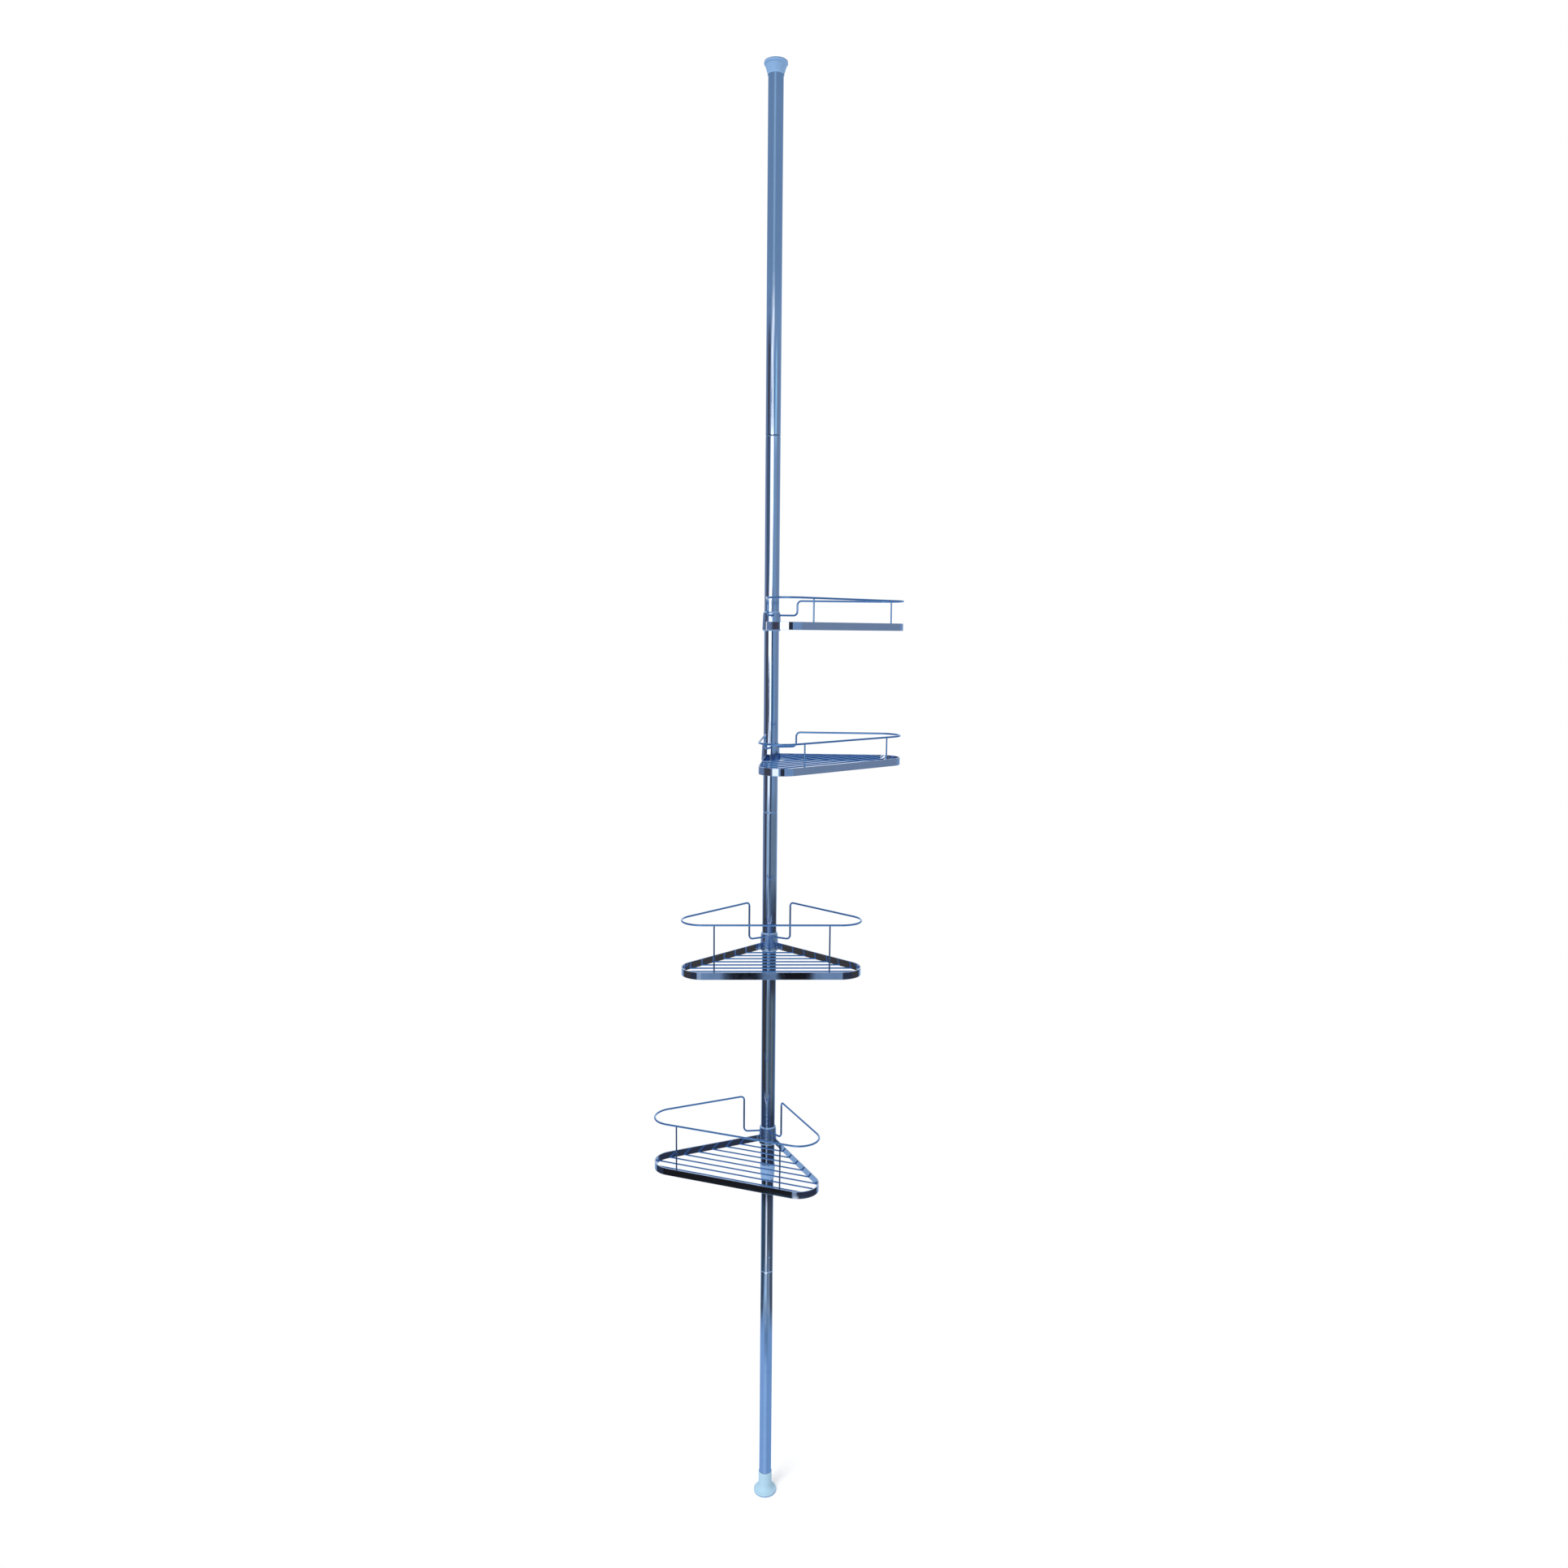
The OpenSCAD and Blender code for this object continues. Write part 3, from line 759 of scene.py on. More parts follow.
@dataclass
class Pole(SubAssembly):
    """Foot, five tubes, bush, ceiling cap and what works inside them."""

    upper_r: float = 12.5
    lower_r: float = 11.0
    wall: float = 0.8
    fit: float = 0.05
    end_taper: float = 0.45
    end_taper_h: float = 1.3
    end_roll: float = 0.8
    tube_sides: int = 128
    swage_h: float = 3.0
    foot_r: float = 20.5
    foot_rim: float = 2.9
    foot_rim_h: float = 3.9
    foot_wall: float = 1.0
    flare_r: float = 13.1
    foot_edges: tuple[float, float, float] = (1.2, 1.7, 0.45)
    flare_steps: int = 24
    pad_inset: float = 0.3
    pad_edges: tuple[float, float] = (0.3, 0.5)
    grip_shares: tuple[float, float, float] = (0.8, 0.55, 0.3)
    grip_parts: int = 12
    grip_depth: float = 0.3
    grip_edge: float = 0.15
    grip_root: float = 0.3
    mouth_edge: float = 0.3
    inner_edge: float = 0.2
    cap_r: float = 19.0
    cap_edge: float = 1.5
    cap_lip_h: float = 2.7
    cap_lip: float = 1.4
    cap_wall: float = 0.75
    cap_mouth_h: float = 2.5
    cap_edges: tuple[float, float, float] = (0.6, 0.9, 0.35)
    cap_flare_r: float = 3.0
    bush_rim: float = 0.5
    bush_rim_h: float = 8.0
    bush_h: float = 27.0
    bush_tip_wall: float = 0.45
    bush_nose_r: float = 2.5
    bush_mouth_edge: float = 0.4
    button_up: float = 31.0
    button_turn: float = 21.0
    button_r: float = 2.5
    button_proud: float = 2.0
    button_hole_gap: float = 0.15
    button_sides: int = 48
    dome_edge: float = 0.1
    dome_steps: int = 10
    leaf_t: float = 0.5
    leaf_w: float = 8.0
    leaf_gap: float = 0.2
    leaf_steps: int = 24
    spring_r: float = 9.4
    spring_wire_r: float = 1.1
    spring_turns: int = 15
    spring_closed_gap: float = 0.6
    spigot_gap: float = 0.4
    plug_head_h: float = 8.0
    plug_head_gap: float = 0.1
    plug_edge: float = 0.4
    plug_root: float = 0.3
    spigot_edge: float = 0.6

    def build(self) -> None:
        """Builds the pole from the floor up."""
        self.pads()
        self.foot()
        self.tubes()
        self.bush()
        self.cap()
        self.snap_lock()
        self.spring()

    def pads(self) -> None:
        """Rubber discs under the foot and on the cap, with three shallow grip rings each."""
        held_edge, worn_edge = self.pad_edges
        for name, radius, body, face in (
            ("foot_pad", self.foot_r, "lower_pole", -1),
            ("ceiling_pad", self.cap_r, "upper_pole", 1),
        ):
            low, high = span(name)
            outer = radius - self.pad_inset
            worn, held = (low, high) if face < 0 else (high, low)
            root = worn - face * self.grip_depth
            groove = outer / self.grip_parts
            corners = [
                Corner(0, held), Corner(outer, held, held_edge), Corner(outer, worn, worn_edge)]
            for share in self.grip_shares:
                middle = outer * share
                corners += [
                    Corner(middle + groove, worn, self.grip_edge),
                    Corner(middle, root, self.grip_root),
                    Corner(middle - groove, worn, self.grip_edge),
                ]
            corners.append(Corner(0, worn))
            pad = lathe(f"{name}_ringed", rounded(corners, closed=False, steps=3), closed=False)
            polish(pad)
            self.hand_over(pad, body, "rubber", [name])

    def foot(self) -> None:
        """Moulded foot: a rimmed disc that flares up in a hollow curve into a sleeve."""
        low, high = span("foot_cap")
        tube_low, _ = span("lower_tube")
        sleeve_r = self.lower_r + self.foot_wall
        bore_r = self.lower_r + self.fit
        rim_in = self.foot_r - self.foot_rim
        rim_up = low + self.foot_rim_h
        middle_out = sleeve_r + self.flare_r
        reach = math.acos((middle_out - rim_in) / self.flare_r)
        middle_up = rim_up + self.flare_r * math.sin(reach)
        flare = [
            Corner(middle_out - self.flare_r * math.cos(turn),
                   middle_up - self.flare_r * math.sin(turn))
            for turn in (
                reach * (1 - part / self.flare_steps) for part in range(self.flare_steps + 1))
        ]
        sole_edge, rim_edge, sleeve_edge = self.foot_edges
        corners = [
            Corner(0, low), Corner(self.foot_r, low, sole_edge),
            Corner(self.foot_r, rim_up, rim_edge), *flare, Corner(sleeve_r, high, sleeve_edge),
            Corner(bore_r, high, self.mouth_edge), Corner(bore_r, tube_low, self.inner_edge),
            Corner(0, tube_low),
        ]
        foot = lathe("foot_cap_moulded", rounded(corners, closed=False), closed=False)
        polish(foot)
        self.hand_over(foot, "lower_pole", "foot_plastic", ["foot_cap"])

    def tube(
        self, node: str, body: str, radius: float, shoulder: float | None = None
    ) -> bpy.types.Object:
        """One tube with eased ends, and a swaged neck where it plugs into the next.

        Args:
            node: CAD node that it stands for.
            body: CAD body that it rides on.
            radius: Outer radius in millimetres.
            shoulder: Height of the shoulder under the neck, or None for a plain end.

        Returns:
            The tube.
        """
        low, high = span(node)
        bore = radius - self.wall
        eased = radius - self.end_taper
        roll, rise = self.end_roll, self.end_taper_h
        corners = [Corner(bore, low), Corner(eased, low), Corner(radius, low + rise, roll)]
        if shoulder is None:
            corners += [Corner(radius, high - rise, roll), Corner(eased, high), Corner(bore, high)]
        else:
            neck = bore - self.fit
            corners += [
                Corner(radius, shoulder - rise, roll), Corner(eased, shoulder),
                Corner(neck, shoulder), Corner(neck, high, self.mouth_edge),
                Corner(neck - self.wall, high),
                Corner(neck - self.wall, shoulder), Corner(bore, shoulder - self.swage_h),
            ]
        return lathe(
            f"{node}_polished", rounded(corners, closed=True), closed=True,
            steps=self.tube_sides)

    def tubes(self) -> None:
        """The five tubes, the two lowest drilled for the snap button."""
        joint_3, _ = span("inner_tube")
        joint_2, _ = span("middle_tube")
        joint_1, _ = span("top_tube")
        plan = (
            ("lower_tube", "lower_pole", self.lower_r, joint_3),
            ("inner_tube", "lower_pole", self.lower_r, None),
            ("sleeve_tube", "upper_pole", self.upper_r, joint_2),
            ("middle_tube", "upper_pole", self.upper_r, joint_1),
            ("top_tube", "upper_pole", self.upper_r, None),
        )
        for node, body, radius, shoulder in plan:
            tube = self.tube(node, body, radius, shoulder)
            if node in ("lower_tube", "inner_tube"):
                self.drill(tube)
            polish(tube)
            self.hand_over(tube, body, "chrome_tube", [node])

    def button_side(self) -> Matrix:
        """Turn about the pole that brings +X to the snap button's side."""
        return Matrix.Rotation(math.radians(self.button_turn - 90), 4, "Z")

    def at_button(self) -> Matrix:
        """Placement of the snap button: +X leaves the pole at the button's side."""
        joint_3, _ = span("inner_tube")
        up = Matrix.Translation((0, 0, (joint_3 + self.button_up) * MM))
        return up @ self.button_side()

    def drill(self, tube: bpy.types.Object) -> None:
        """Cuts the snap button's hole through one wall of a tube."""
        shape = bmesh.new()
        radius = (self.button_r + self.button_hole_gap) * MM
        depth = self.upper_r * MM
        bmesh.ops.create_cone(
            shape, cap_ends=True, segments=self.button_sides, radius1=radius, radius2=radius,
            depth=depth)
        turn = Matrix.Translation((depth / 2, 0, 0)) @ Matrix.Rotation(math.pi / 2, 4, "Y")
        shape.transform(self.at_button() @ turn)
        mesh = bpy.data.meshes.new("button_drill")
        shape.to_mesh(mesh)
        shape.free()
        cutter = new_object("button_drill", mesh)
        cut = tube.modifiers.new("button hole", "BOOLEAN")
        cut.operation = "DIFFERENCE"
        cut.solver = "EXACT"
        cut.object = cutter
        bake_down(tube)
        bpy.data.objects.remove(cutter)

    def bush(self) -> None:
        """Moulded bush: a rim, a tapered nose and a thin liner up inside the sleeve tube."""
        low, high = span("telescope_bush")
        mouth = low + self.bush_h
        bore_r = self.lower_r + self.fit
        liner_r = self.upper_r - self.wall - self.fit
        corners = [
            Corner(bore_r, low), Corner(bore_r + self.bush_tip_wall, low, self.inner_edge),
            Corner(self.upper_r + self.bush_rim, mouth - self.bush_rim_h, self.bush_nose_r),
            Corner(self.upper_r + self.bush_rim, mouth, self.bush_mouth_edge),
            Corner(liner_r, mouth), Corner(liner_r, high, self.inner_edge),
            Corner(bore_r, high),
        ]
        bush = lathe("telescope_bush_moulded", rounded(corners, closed=True), closed=True)
        polish(bush)
        self.hand_over(bush, "upper_pole", "bush_plastic", ["telescope_bush"])

    def cap(self) -> None:
        """Moulded ceiling cap: a funnel upside down over the top tube's end."""
        low, high = span("ceiling_cap")
        bore_r = self.upper_r + self.fit
        mouth_r = bore_r + self.cap_wall
        roof = high - self.cap_edge
        lip_low = high - self.cap_lip_h
        top_edge, lip_edge, lip_root = self.cap_edges
        corners = [
            Corner(0, high), Corner(self.cap_r, high, top_edge),
            Corner(self.cap_r, lip_low, lip_edge),
            Corner(self.cap_r - self.cap_lip, lip_low, lip_root),
            Corner(mouth_r, low + self.cap_mouth_h, self.cap_flare_r),
            Corner(mouth_r, low, self.mouth_edge), Corner(bore_r, low, self.inner_edge),
            Corner(bore_r, roof, self.inner_edge), Corner(0, roof),
        ]
        cap = lathe("ceiling_cap_moulded", rounded(corners, closed=False), closed=False)
        polish(cap)
        self.hand_over(cap, "upper_pole", "cap_plastic", ["ceiling_cap"])

    def snap_lock(self) -> None:
        """Snap button with a domed head, and the bowed leaf that pushes it out."""
        neck_r = self.lower_r - 2 * self.wall - self.fit
        leaf_r = math.sqrt((neck_r - self.leaf_gap) ** 2 - (self.leaf_w / 2) ** 2)
        length = self.lower_r + self.button_proud - leaf_r
        dome_r = 2 * self.button_r
        edge = length - dome_r + math.sqrt(dome_r ** 2 - self.button_r ** 2)
        last = math.asin(self.button_r / dome_r)
        dome = [
            (dome_r * math.sin(turn), length - dome_r + dome_r * math.cos(turn))
            for turn in (last * part / self.dome_steps for part in range(self.dome_steps + 1))
        ]
        outline = [
            (0.0, 0.0), (self.button_r, 0.0), (self.button_r, edge - self.dome_edge),
            *reversed(dome),
        ]
        button = lathe("snap_button_domed", outline, closed=False, steps=self.button_sides)
        out = Matrix.Translation((leaf_r * MM, 0, 0)) @ Matrix.Rotation(math.pi / 2, 4, "Y")
        button.data.transform(self.at_button() @ out)
        polish(button)
        self.hand_over(button, "button", "button_steel", ["snap_button"])

        low, high = span("snap_spring")
        leg_low = low + leaf_r
        inner_r = leaf_r - self.leaf_t
        arc = [
            math.pi + math.pi * part / self.leaf_steps for part in range(self.leaf_steps + 1)]
        outline = (
            [(-leaf_r, high)]
            + [(leaf_r * math.cos(t), leg_low + leaf_r * math.sin(t)) for t in arc]
            + [(leaf_r, high), (inner_r, high)]
            + [(inner_r * math.cos(t), leg_low + inner_r * math.sin(t)) for t in reversed(arc)]
            + [(-inner_r, high)]
        )
        leaf = extrude("snap_spring_leaf", outline, self.leaf_w)
        turn = self.button_side()
        leaf.data.transform(turn)
        polish(leaf)
        leaf.data.materials.append(self.shop.materials["spring_steel"])
        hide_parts("snap_spring")
        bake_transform(leaf)
        self.made.append(leaf.name)
        LOG.info("%s bends from lower_pole to button", leaf.name)

    def plug(self, node: str, body: str, corners: Sequence[Corner]) -> None:
        """A turned nylon piece inside the pole.

        Args:
            node: CAD node that it stands for.
            body: CAD body that it rides on.
            corners: Outline from axis to axis.
        """
        piece = lathe(f"{node}_moulded", rounded(corners, closed=False, steps=3), closed=False)
        polish(piece)
        self.hand_over(piece, body, "inner_plastic", [node])

    def spring(self) -> None:
        """The tension spring between its two plugs. On the real pole it shortens as the pole is
        pushed in; here it is built at one length.
        """
        spigot_r = self.spring_r - self.spring_wire_r - self.spigot_gap
        bore_r = self.upper_r - self.wall
        low, high = span("inner_tube_plug")
        _, tube_top = span("inner_tube")
        stem_r = self.lower_r - self.wall - self.fit
        head_r = bore_r - self.plug_head_gap
        head_top = tube_top + self.plug_head_h
        self.plug("inner_tube_plug", "lower_pole", [
            Corner(0, low), Corner(stem_r, low, self.plug_edge), Corner(stem_r, tube_top),
            Corner(head_r, tube_top, self.plug_root), Corner(head_r, head_top, self.plug_edge),
            Corner(spigot_r, head_top, self.plug_root),
            Corner(spigot_r, high, self.spigot_edge), Corner(0, high),
        ])
        stop_low, stop_high = span("spring_stop")
        stop_r = bore_r - self.fit
        spigot_h = high - head_top
        self.plug("spring_stop", "upper_pole", [
            Corner(0, stop_low), Corner(spigot_r, stop_low, self.spigot_edge),
            Corner(spigot_r, stop_low + spigot_h, self.plug_root),
            Corner(stop_r, stop_low + spigot_h, self.plug_edge),
            Corner(stop_r, stop_high, self.plug_edge), Corner(0, stop_high),
        ])
        coil = self.coil()
        polish(coil, crease=60.0)
        self.hand_over(coil, "lower_pole", "spring_steel", ["tension_spring"])
        low, high = span("tension_spring")
        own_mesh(coil)

    def coil(self, rings: int = 24, sides: int = 12) -> bpy.types.Object:
        """Helical compression spring, one unbroken wire with a closed turn at each end.

        Args:
            rings: Sections to a turn.
            sides: Corners of a section.

        Returns:
            The coil.
        """
        low, high = span("tension_spring")
        wire = self.spring_wire_r
        closed = 2 * wire + self.spring_closed_gap
        active = self.spring_turns - 2
        pitch = (high - low - 2 * wire - 2 * closed) / active
        shape = bmesh.new()
        sections = []
        for index in range(self.spring_turns * rings + 1):
            turns = index / rings
            shut = min(turns, 1) + max(turns - 1 - active, 0)
            up = low + wire + closed * shut + pitch * min(max(turns - 1, 0), active)
            turn = math.tau * turns
            middle = Vector((self.spring_r * math.cos(turn), self.spring_r * math.sin(turn), up))
            out = Vector((math.cos(turn), math.sin(turn), 0))
            sections.append([
                shape.verts.new((middle + wire * (
                    out * math.cos(side) + Vector((0, 0, 1)) * math.sin(side))) * MM)
                for side in (math.tau * number / sides for number in range(sides))
            ])
        for near, far in zip(sections, sections[1:]):
            for side in range(sides):
                ahead = (side + 1) % sides
                shape.faces.new([near[side], near[ahead], far[ahead], far[side]])
        shape.faces.new(sections[0])
        shape.faces.new(sections[-1])
        return solid("tension_spring_coiled", shape)


@dataclass
class Shelf(SubAssembly):
    """One corner basket: flat band, floor wires, guard rail, posts, welds, collar and wedge."""

    number: int = 1
    turn: float = 0.0
    rail_h: float = 36.0
    reach: float = 183.4
    corner_r: float = 35.0
    bend_steps: int = 32
    leg_offset: float = 6.4
    leg_inside: float = 12.0
    band_h: float = 12.0
    band_t: float = 2.0
    band_edge: float = 0.45
    floor_wire_d: float = 2.5
    floor_pitch: float = 18.4
    first_wire: float = 31.6
    floor_lift: float = 0.3
    floor_bite: float = 0.3
    rail_d: float = 3.2
    post_d: float = 2.5
    post_x: float = 91.0
    rail_bend_steps: int = 24
    dip_bend_r: float = 7.0
    dip_along: float = 42.8
    dip_under: float = 4.2
    dip_meet: float = 35.0
    pole_r: float = 12.5
    fit: float = 0.05
    wedge_wall: float = 0.7
    wedge_slot: float = 1.6
    wedge_show: float = 2.0
    wedge_edges: tuple[float, float, float] = (0.15, 0.4, 0.25)
    collar_h: float = 28.0
    collar_wall: float = 1.3
    collar_taper: float = 1.4
    collar_edges: tuple[float, float] = (0.25, 0.5)
    seat_depth: float = 0.5
    weld_d: float = 3.0
    weld_pitting: float = 0.5

    def build(self) -> None:
        """Builds the basket and what clamps it to the pole."""
        self.band()
        self.floor()
        self.rail()
        self.posts()
        self.weld()
        self.collar()
        self.wedge()

    @property
    def front(self) -> float:
        """Y of the band's middle line along the front."""
        return self.band_t / 2 - self.reach

    @property
    def bend_r(self) -> float:
        """Radius of the corner bends' middle line."""
        return self.corner_r - self.band_t / 2

    @property
    def corner_point(self) -> float:
        """X at which the front and a leg would cross if the corner weren't bent."""
        return math.sqrt(2) * self.leg_offset - self.front

    @property
    def collar_low(self) -> float:
        """Height of the collar's foot, level with the band's lower edge."""
        return -self.band_h

    def bore_r(self, up: float) -> float:
        """Radius of the collar's tapered bore at a height."""
        top_r = self.pole_r + self.fit + self.wedge_wall + self.fit
        return top_r + self.collar_taper * (self.collar_low + self.collar_h - up) / self.collar_h

    @property
    def dip_up(self) -> float:
        """Height of the middle of the rail's lowest run."""
        return self.collar_low + self.collar_h - self.dip_under

    def name(self, piece: str) -> str:
        """Name of one of this shelf's nodes."""
        return f"shelf_{self.number}_{piece}"

    def seat(self, piece: bpy.types.Object) -> None:
        """Slides the ends that reach into the collar out along their way to its wall.

        Args:
            piece: Band or rail, still in the shelf's own frame.
        """
        for vertex in piece.data.vertices:
            place = vertex.co / MM
            wall = self.bore_r(place.z) + self.collar_wall - self.seat_depth
            out = Vector((place.x, place.y))
            if out.length < wall:
                vertex.co.x, vertex.co.y = out.normalized() * wall * MM

    def set_in_place(self, piece: bpy.types.Object) -> None:
        """Moves a mesh from the shelf's own frame, with the band's top at zero, to the pole."""
        _, top = span(self.name("band"))
        piece.data.transform(
            Matrix.Translation((0, 0, top * MM)) @ Matrix.Rotation(math.radians(self.turn), 4, "Z"))

    def finish(
        self, piece: bpy.types.Object, node: str, slot: str, body: str = "shelf",
        crease: float = 50.0
    ) -> None:
        """Places, smooths and hands over a piece of the shelf.

        Args:
            piece: Piece in the shelf's own frame.
            node: Piece name of the CAD node that it stands for, or "" for none.
            slot: Material slot of the record.
            body: "shelf" or "clip", the body that it rides on.
            crease: Angle in degrees past which an edge stays sharp.
        """
        self.set_in_place(piece)
        polish(piece, crease)
        nodes = [self.name(node)] if node else []
        self.hand_over(piece, f"{body}_{self.number}", slot, nodes)

    def band(self) -> None:
        """Flat strip on edge round the front, two corners and two legs."""
        out = math.sqrt(0.5)
        end_x = out * (self.leg_offset + self.leg_inside)
        end_y = out * (self.leg_offset - self.leg_inside)
        middle = -self.band_h / 2
        points = [
            Vector((-end_x, end_y, middle)), Vector((-self.corner_point, self.front, middle)),
            Vector((self.corner_point, self.front, middle)), Vector((end_x, end_y, middle)),
        ]
        piece = seeds(
            self.name("band_bent"), points, [0, self.bend_r, self.bend_r, 0], path=True)
        self.shop.strip.grow(piece, {
            "Thickness": self.band_t * MM, "Height": self.band_h * MM,
            "Edge": self.band_edge * MM, "Bend steps": self.bend_steps,
            "Material": self.shop.materials["chrome_band"],
        })
        self.seat(piece)
        self.finish(piece, "band", "chrome_band")

    def floor_rows(self) -> list[float]:
        """Y of every floor wire."""
        count = math.floor((-self.front - self.first_wire) / self.floor_pitch - 1 / 2) + 1
        return [-self.first_wire - row * self.floor_pitch for row in range(count)]

    @property
    def floor_up(self) -> float:
        """Height of the floor wires' middle."""
        return self.floor_lift + self.floor_wire_d / 2 - self.band_h

    def inner_half_width(self, row: float) -> float:
        """Distance from the shelf's middle to the band's inner face along a row."""
        inner_r = self.bend_r - self.band_t / 2
        ahead = row - (self.front + self.bend_r)
        if ahead > inner_r * math.sqrt(0.5):
            return self.leg_gap - row
        return self.corner_x + math.sqrt(inner_r ** 2 - ahead ** 2)

    @property
    def leg_gap(self) -> float:
        """X at which a leg's inner face would cross the line through the pole."""
        return math.sqrt(2) * (self.leg_offset - self.band_t / 2)

    @property
    def corner_x(self) -> float:
        """X of the centre of a corner bend."""
        return self.corner_point - self.bend_r / math.tan(math.pi / 8)

    def floor(self) -> None:
        """Straight wires across the basket, ending in the band's inner face."""
        piece = seeds(self.name("floor_wires_drawn"), [])
        inner_r = self.bend_r - self.band_t / 2
        self.shop.floor_wires.grow(piece, {
            "Count": len(self.floor_rows()), "First": self.first_wire * MM,
            "Pitch": self.floor_pitch * MM, "Level": self.floor_up * MM,
            "Leg gap": (self.leg_gap + self.floor_bite) * MM,
            "Corner X": (self.corner_x + self.floor_bite) * MM,
            "Corner Y": (self.front + self.bend_r) * MM, "Corner radius": inner_r * MM,
            "Diameter": self.floor_wire_d * MM,
            "Material": self.shop.materials["chrome_wire"],
        })
        self.finish(piece, "floor_wires", "chrome_wire")

    def rail(self) -> None:
        """Guard wire round the front and legs, which dips at each end to meet the collar."""
        meet_r = self.bore_r(self.dip_up)
        turn = math.radians(self.dip_meet)
        dip_x = math.sqrt(0.5) * (self.dip_along + self.leg_offset)
        dip_y = math.sqrt(0.5) * (self.leg_offset - self.dip_along)
        right = [
            Vector((self.corner_point, self.front, self.rail_h)),
            Vector((dip_x, dip_y, self.rail_h)), Vector((dip_x, dip_y, self.dip_up)),
            Vector((meet_r * math.sin(turn), -meet_r * math.cos(turn), self.dip_up)),
        ]
        left = [Vector((-point.x, point.y, point.z)) for point in reversed(right)]
        half = [self.bend_r, self.dip_bend_r, self.dip_bend_r, 0]
        piece = seeds(self.name("rail_bent"), left + right, [*reversed(half), *half], path=True)
        self.shop.wire.grow(piece, {
            "Thickness": self.rail_d * MM, "Bend steps": self.rail_bend_steps,
            "Material": self.shop.materials["chrome_wire"],
        })
        self.seat(piece)
        self.finish(piece, "rail", "chrome_wire")

    def posts(self) -> None:
        """Two short wires from the band's top edge up to the rail."""
        feet = [Vector((side * self.post_x, self.front, 0)) for side in (-1, 1)]
        piece = seeds(self.name("posts_cut"), feet)
        self.shop.posts.grow(piece, {
            "Length": (self.rail_h - self.rail_d / 4) * MM, "Diameter": self.post_d * MM,
            "Material": self.shop.materials["chrome_wire"],
        })
        self.finish(piece, "posts", "chrome_wire")

    def weld(self) -> None:
        """Weld nuggets where wires meet the band, the rail and the collar."""
        meet_r = self.bore_r(self.dip_up) + self.collar_wall
        turn = math.radians(self.dip_meet)
        spots = []
        for side in (-1, 1):
            spots += [
                Vector((side * self.inner_half_width(row), row, self.floor_up))
                for row in self.floor_rows()
            ]
            spots += [
                Vector((side * self.post_x, self.front, up))
                for up in (0, self.rail_h - self.rail_d / 2)
            ]
            spots.append(Vector(
                (side * meet_r * math.sin(turn), -meet_r * math.cos(turn), self.dip_up)))
        piece = seeds(self.name("welds"), spots)
        self.shop.welds.grow(piece, {
            "Size": self.weld_d / 2 * MM, "Unevenness": self.weld_pitting * MM,
            "Seed": self.number,
            "Material": self.shop.materials["chrome_wire"],
        })
        self.finish(piece, "", "chrome_wire")

    def collar(self) -> None:
        """Turned steel collar with a tapered bore and eased edges."""
        low, high = self.collar_low, self.collar_low + self.collar_h
        bore_edge, outer_edge = self.collar_edges
        corners = [
            Corner(self.bore_r(low), low, bore_edge),
            Corner(self.bore_r(low) + self.collar_wall, low, outer_edge),
            Corner(self.bore_r(high) + self.collar_wall, high, outer_edge),
            Corner(self.bore_r(high), high, bore_edge),
        ]
        piece = lathe(self.name("collar_turned"), rounded(corners, closed=True), closed=True)
        self.finish(piece, "collar", "chrome_collar")

    def wedge(self) -> None:
        """Two tapered plastic halves, parted by a slot, that the collar squeezes on the pole."""
        low = self.collar_low - self.wedge_show
        high = self.collar_low + self.collar_h + self.wedge_show
        bore = self.pole_r + self.fit
        bore_edge, low_edge, high_edge = self.wedge_edges
        for side, label in ((1, "clip_right"), (-1, "clip_left")):
            corners = [
                Corner(bore, low, bore_edge), Corner(self.bore_r(low) - self.fit, low, low_edge),
                Corner(self.bore_r(high) - self.fit, high, high_edge),
                Corner(bore, high, bore_edge),
            ]
            piece = lathe(
                self.name(f"{label}_moulded"), rounded(corners, closed=True, steps=4), closed=True)
            shape = bmesh.new()
            shape.from_mesh(piece.data)
            cut = bmesh.ops.bisect_plane(
                shape, geom=shape.verts[:] + shape.edges[:] + shape.faces[:],
                plane_co=(side * self.wedge_slot / 2 * MM, 0, 0), plane_no=(-side, 0, 0),
                clear_outer=True)
            rims = [edge for edge in cut["geom_cut"] if isinstance(edge, bmesh.types.BMEdge)]
            bmesh.ops.holes_fill(shape, edges=rims)
            bmesh.ops.recalc_face_normals(shape, faces=shape.faces)
            shape.to_mesh(piece.data)
            shape.free()
            self.finish(piece, label, "wedge_plastic", "clip")


@dataclass(frozen=True)
class Panel:
    """A stretch of studio wall, flag or softbox that only the chrome sees, by direction."""

    colour: str
    level: float
    azimuth: tuple[float, float]
    elevation: tuple[float, float]
    soft: tuple[float, float] = (3.0, 2.0)

    @property
    def shade(self) -> Colour:
        """The light that it sends: its linear colour times its level."""
        red, green, blue, alpha = linear(self.colour)
        return self.level * red, self.level * green, self.level * blue, alpha


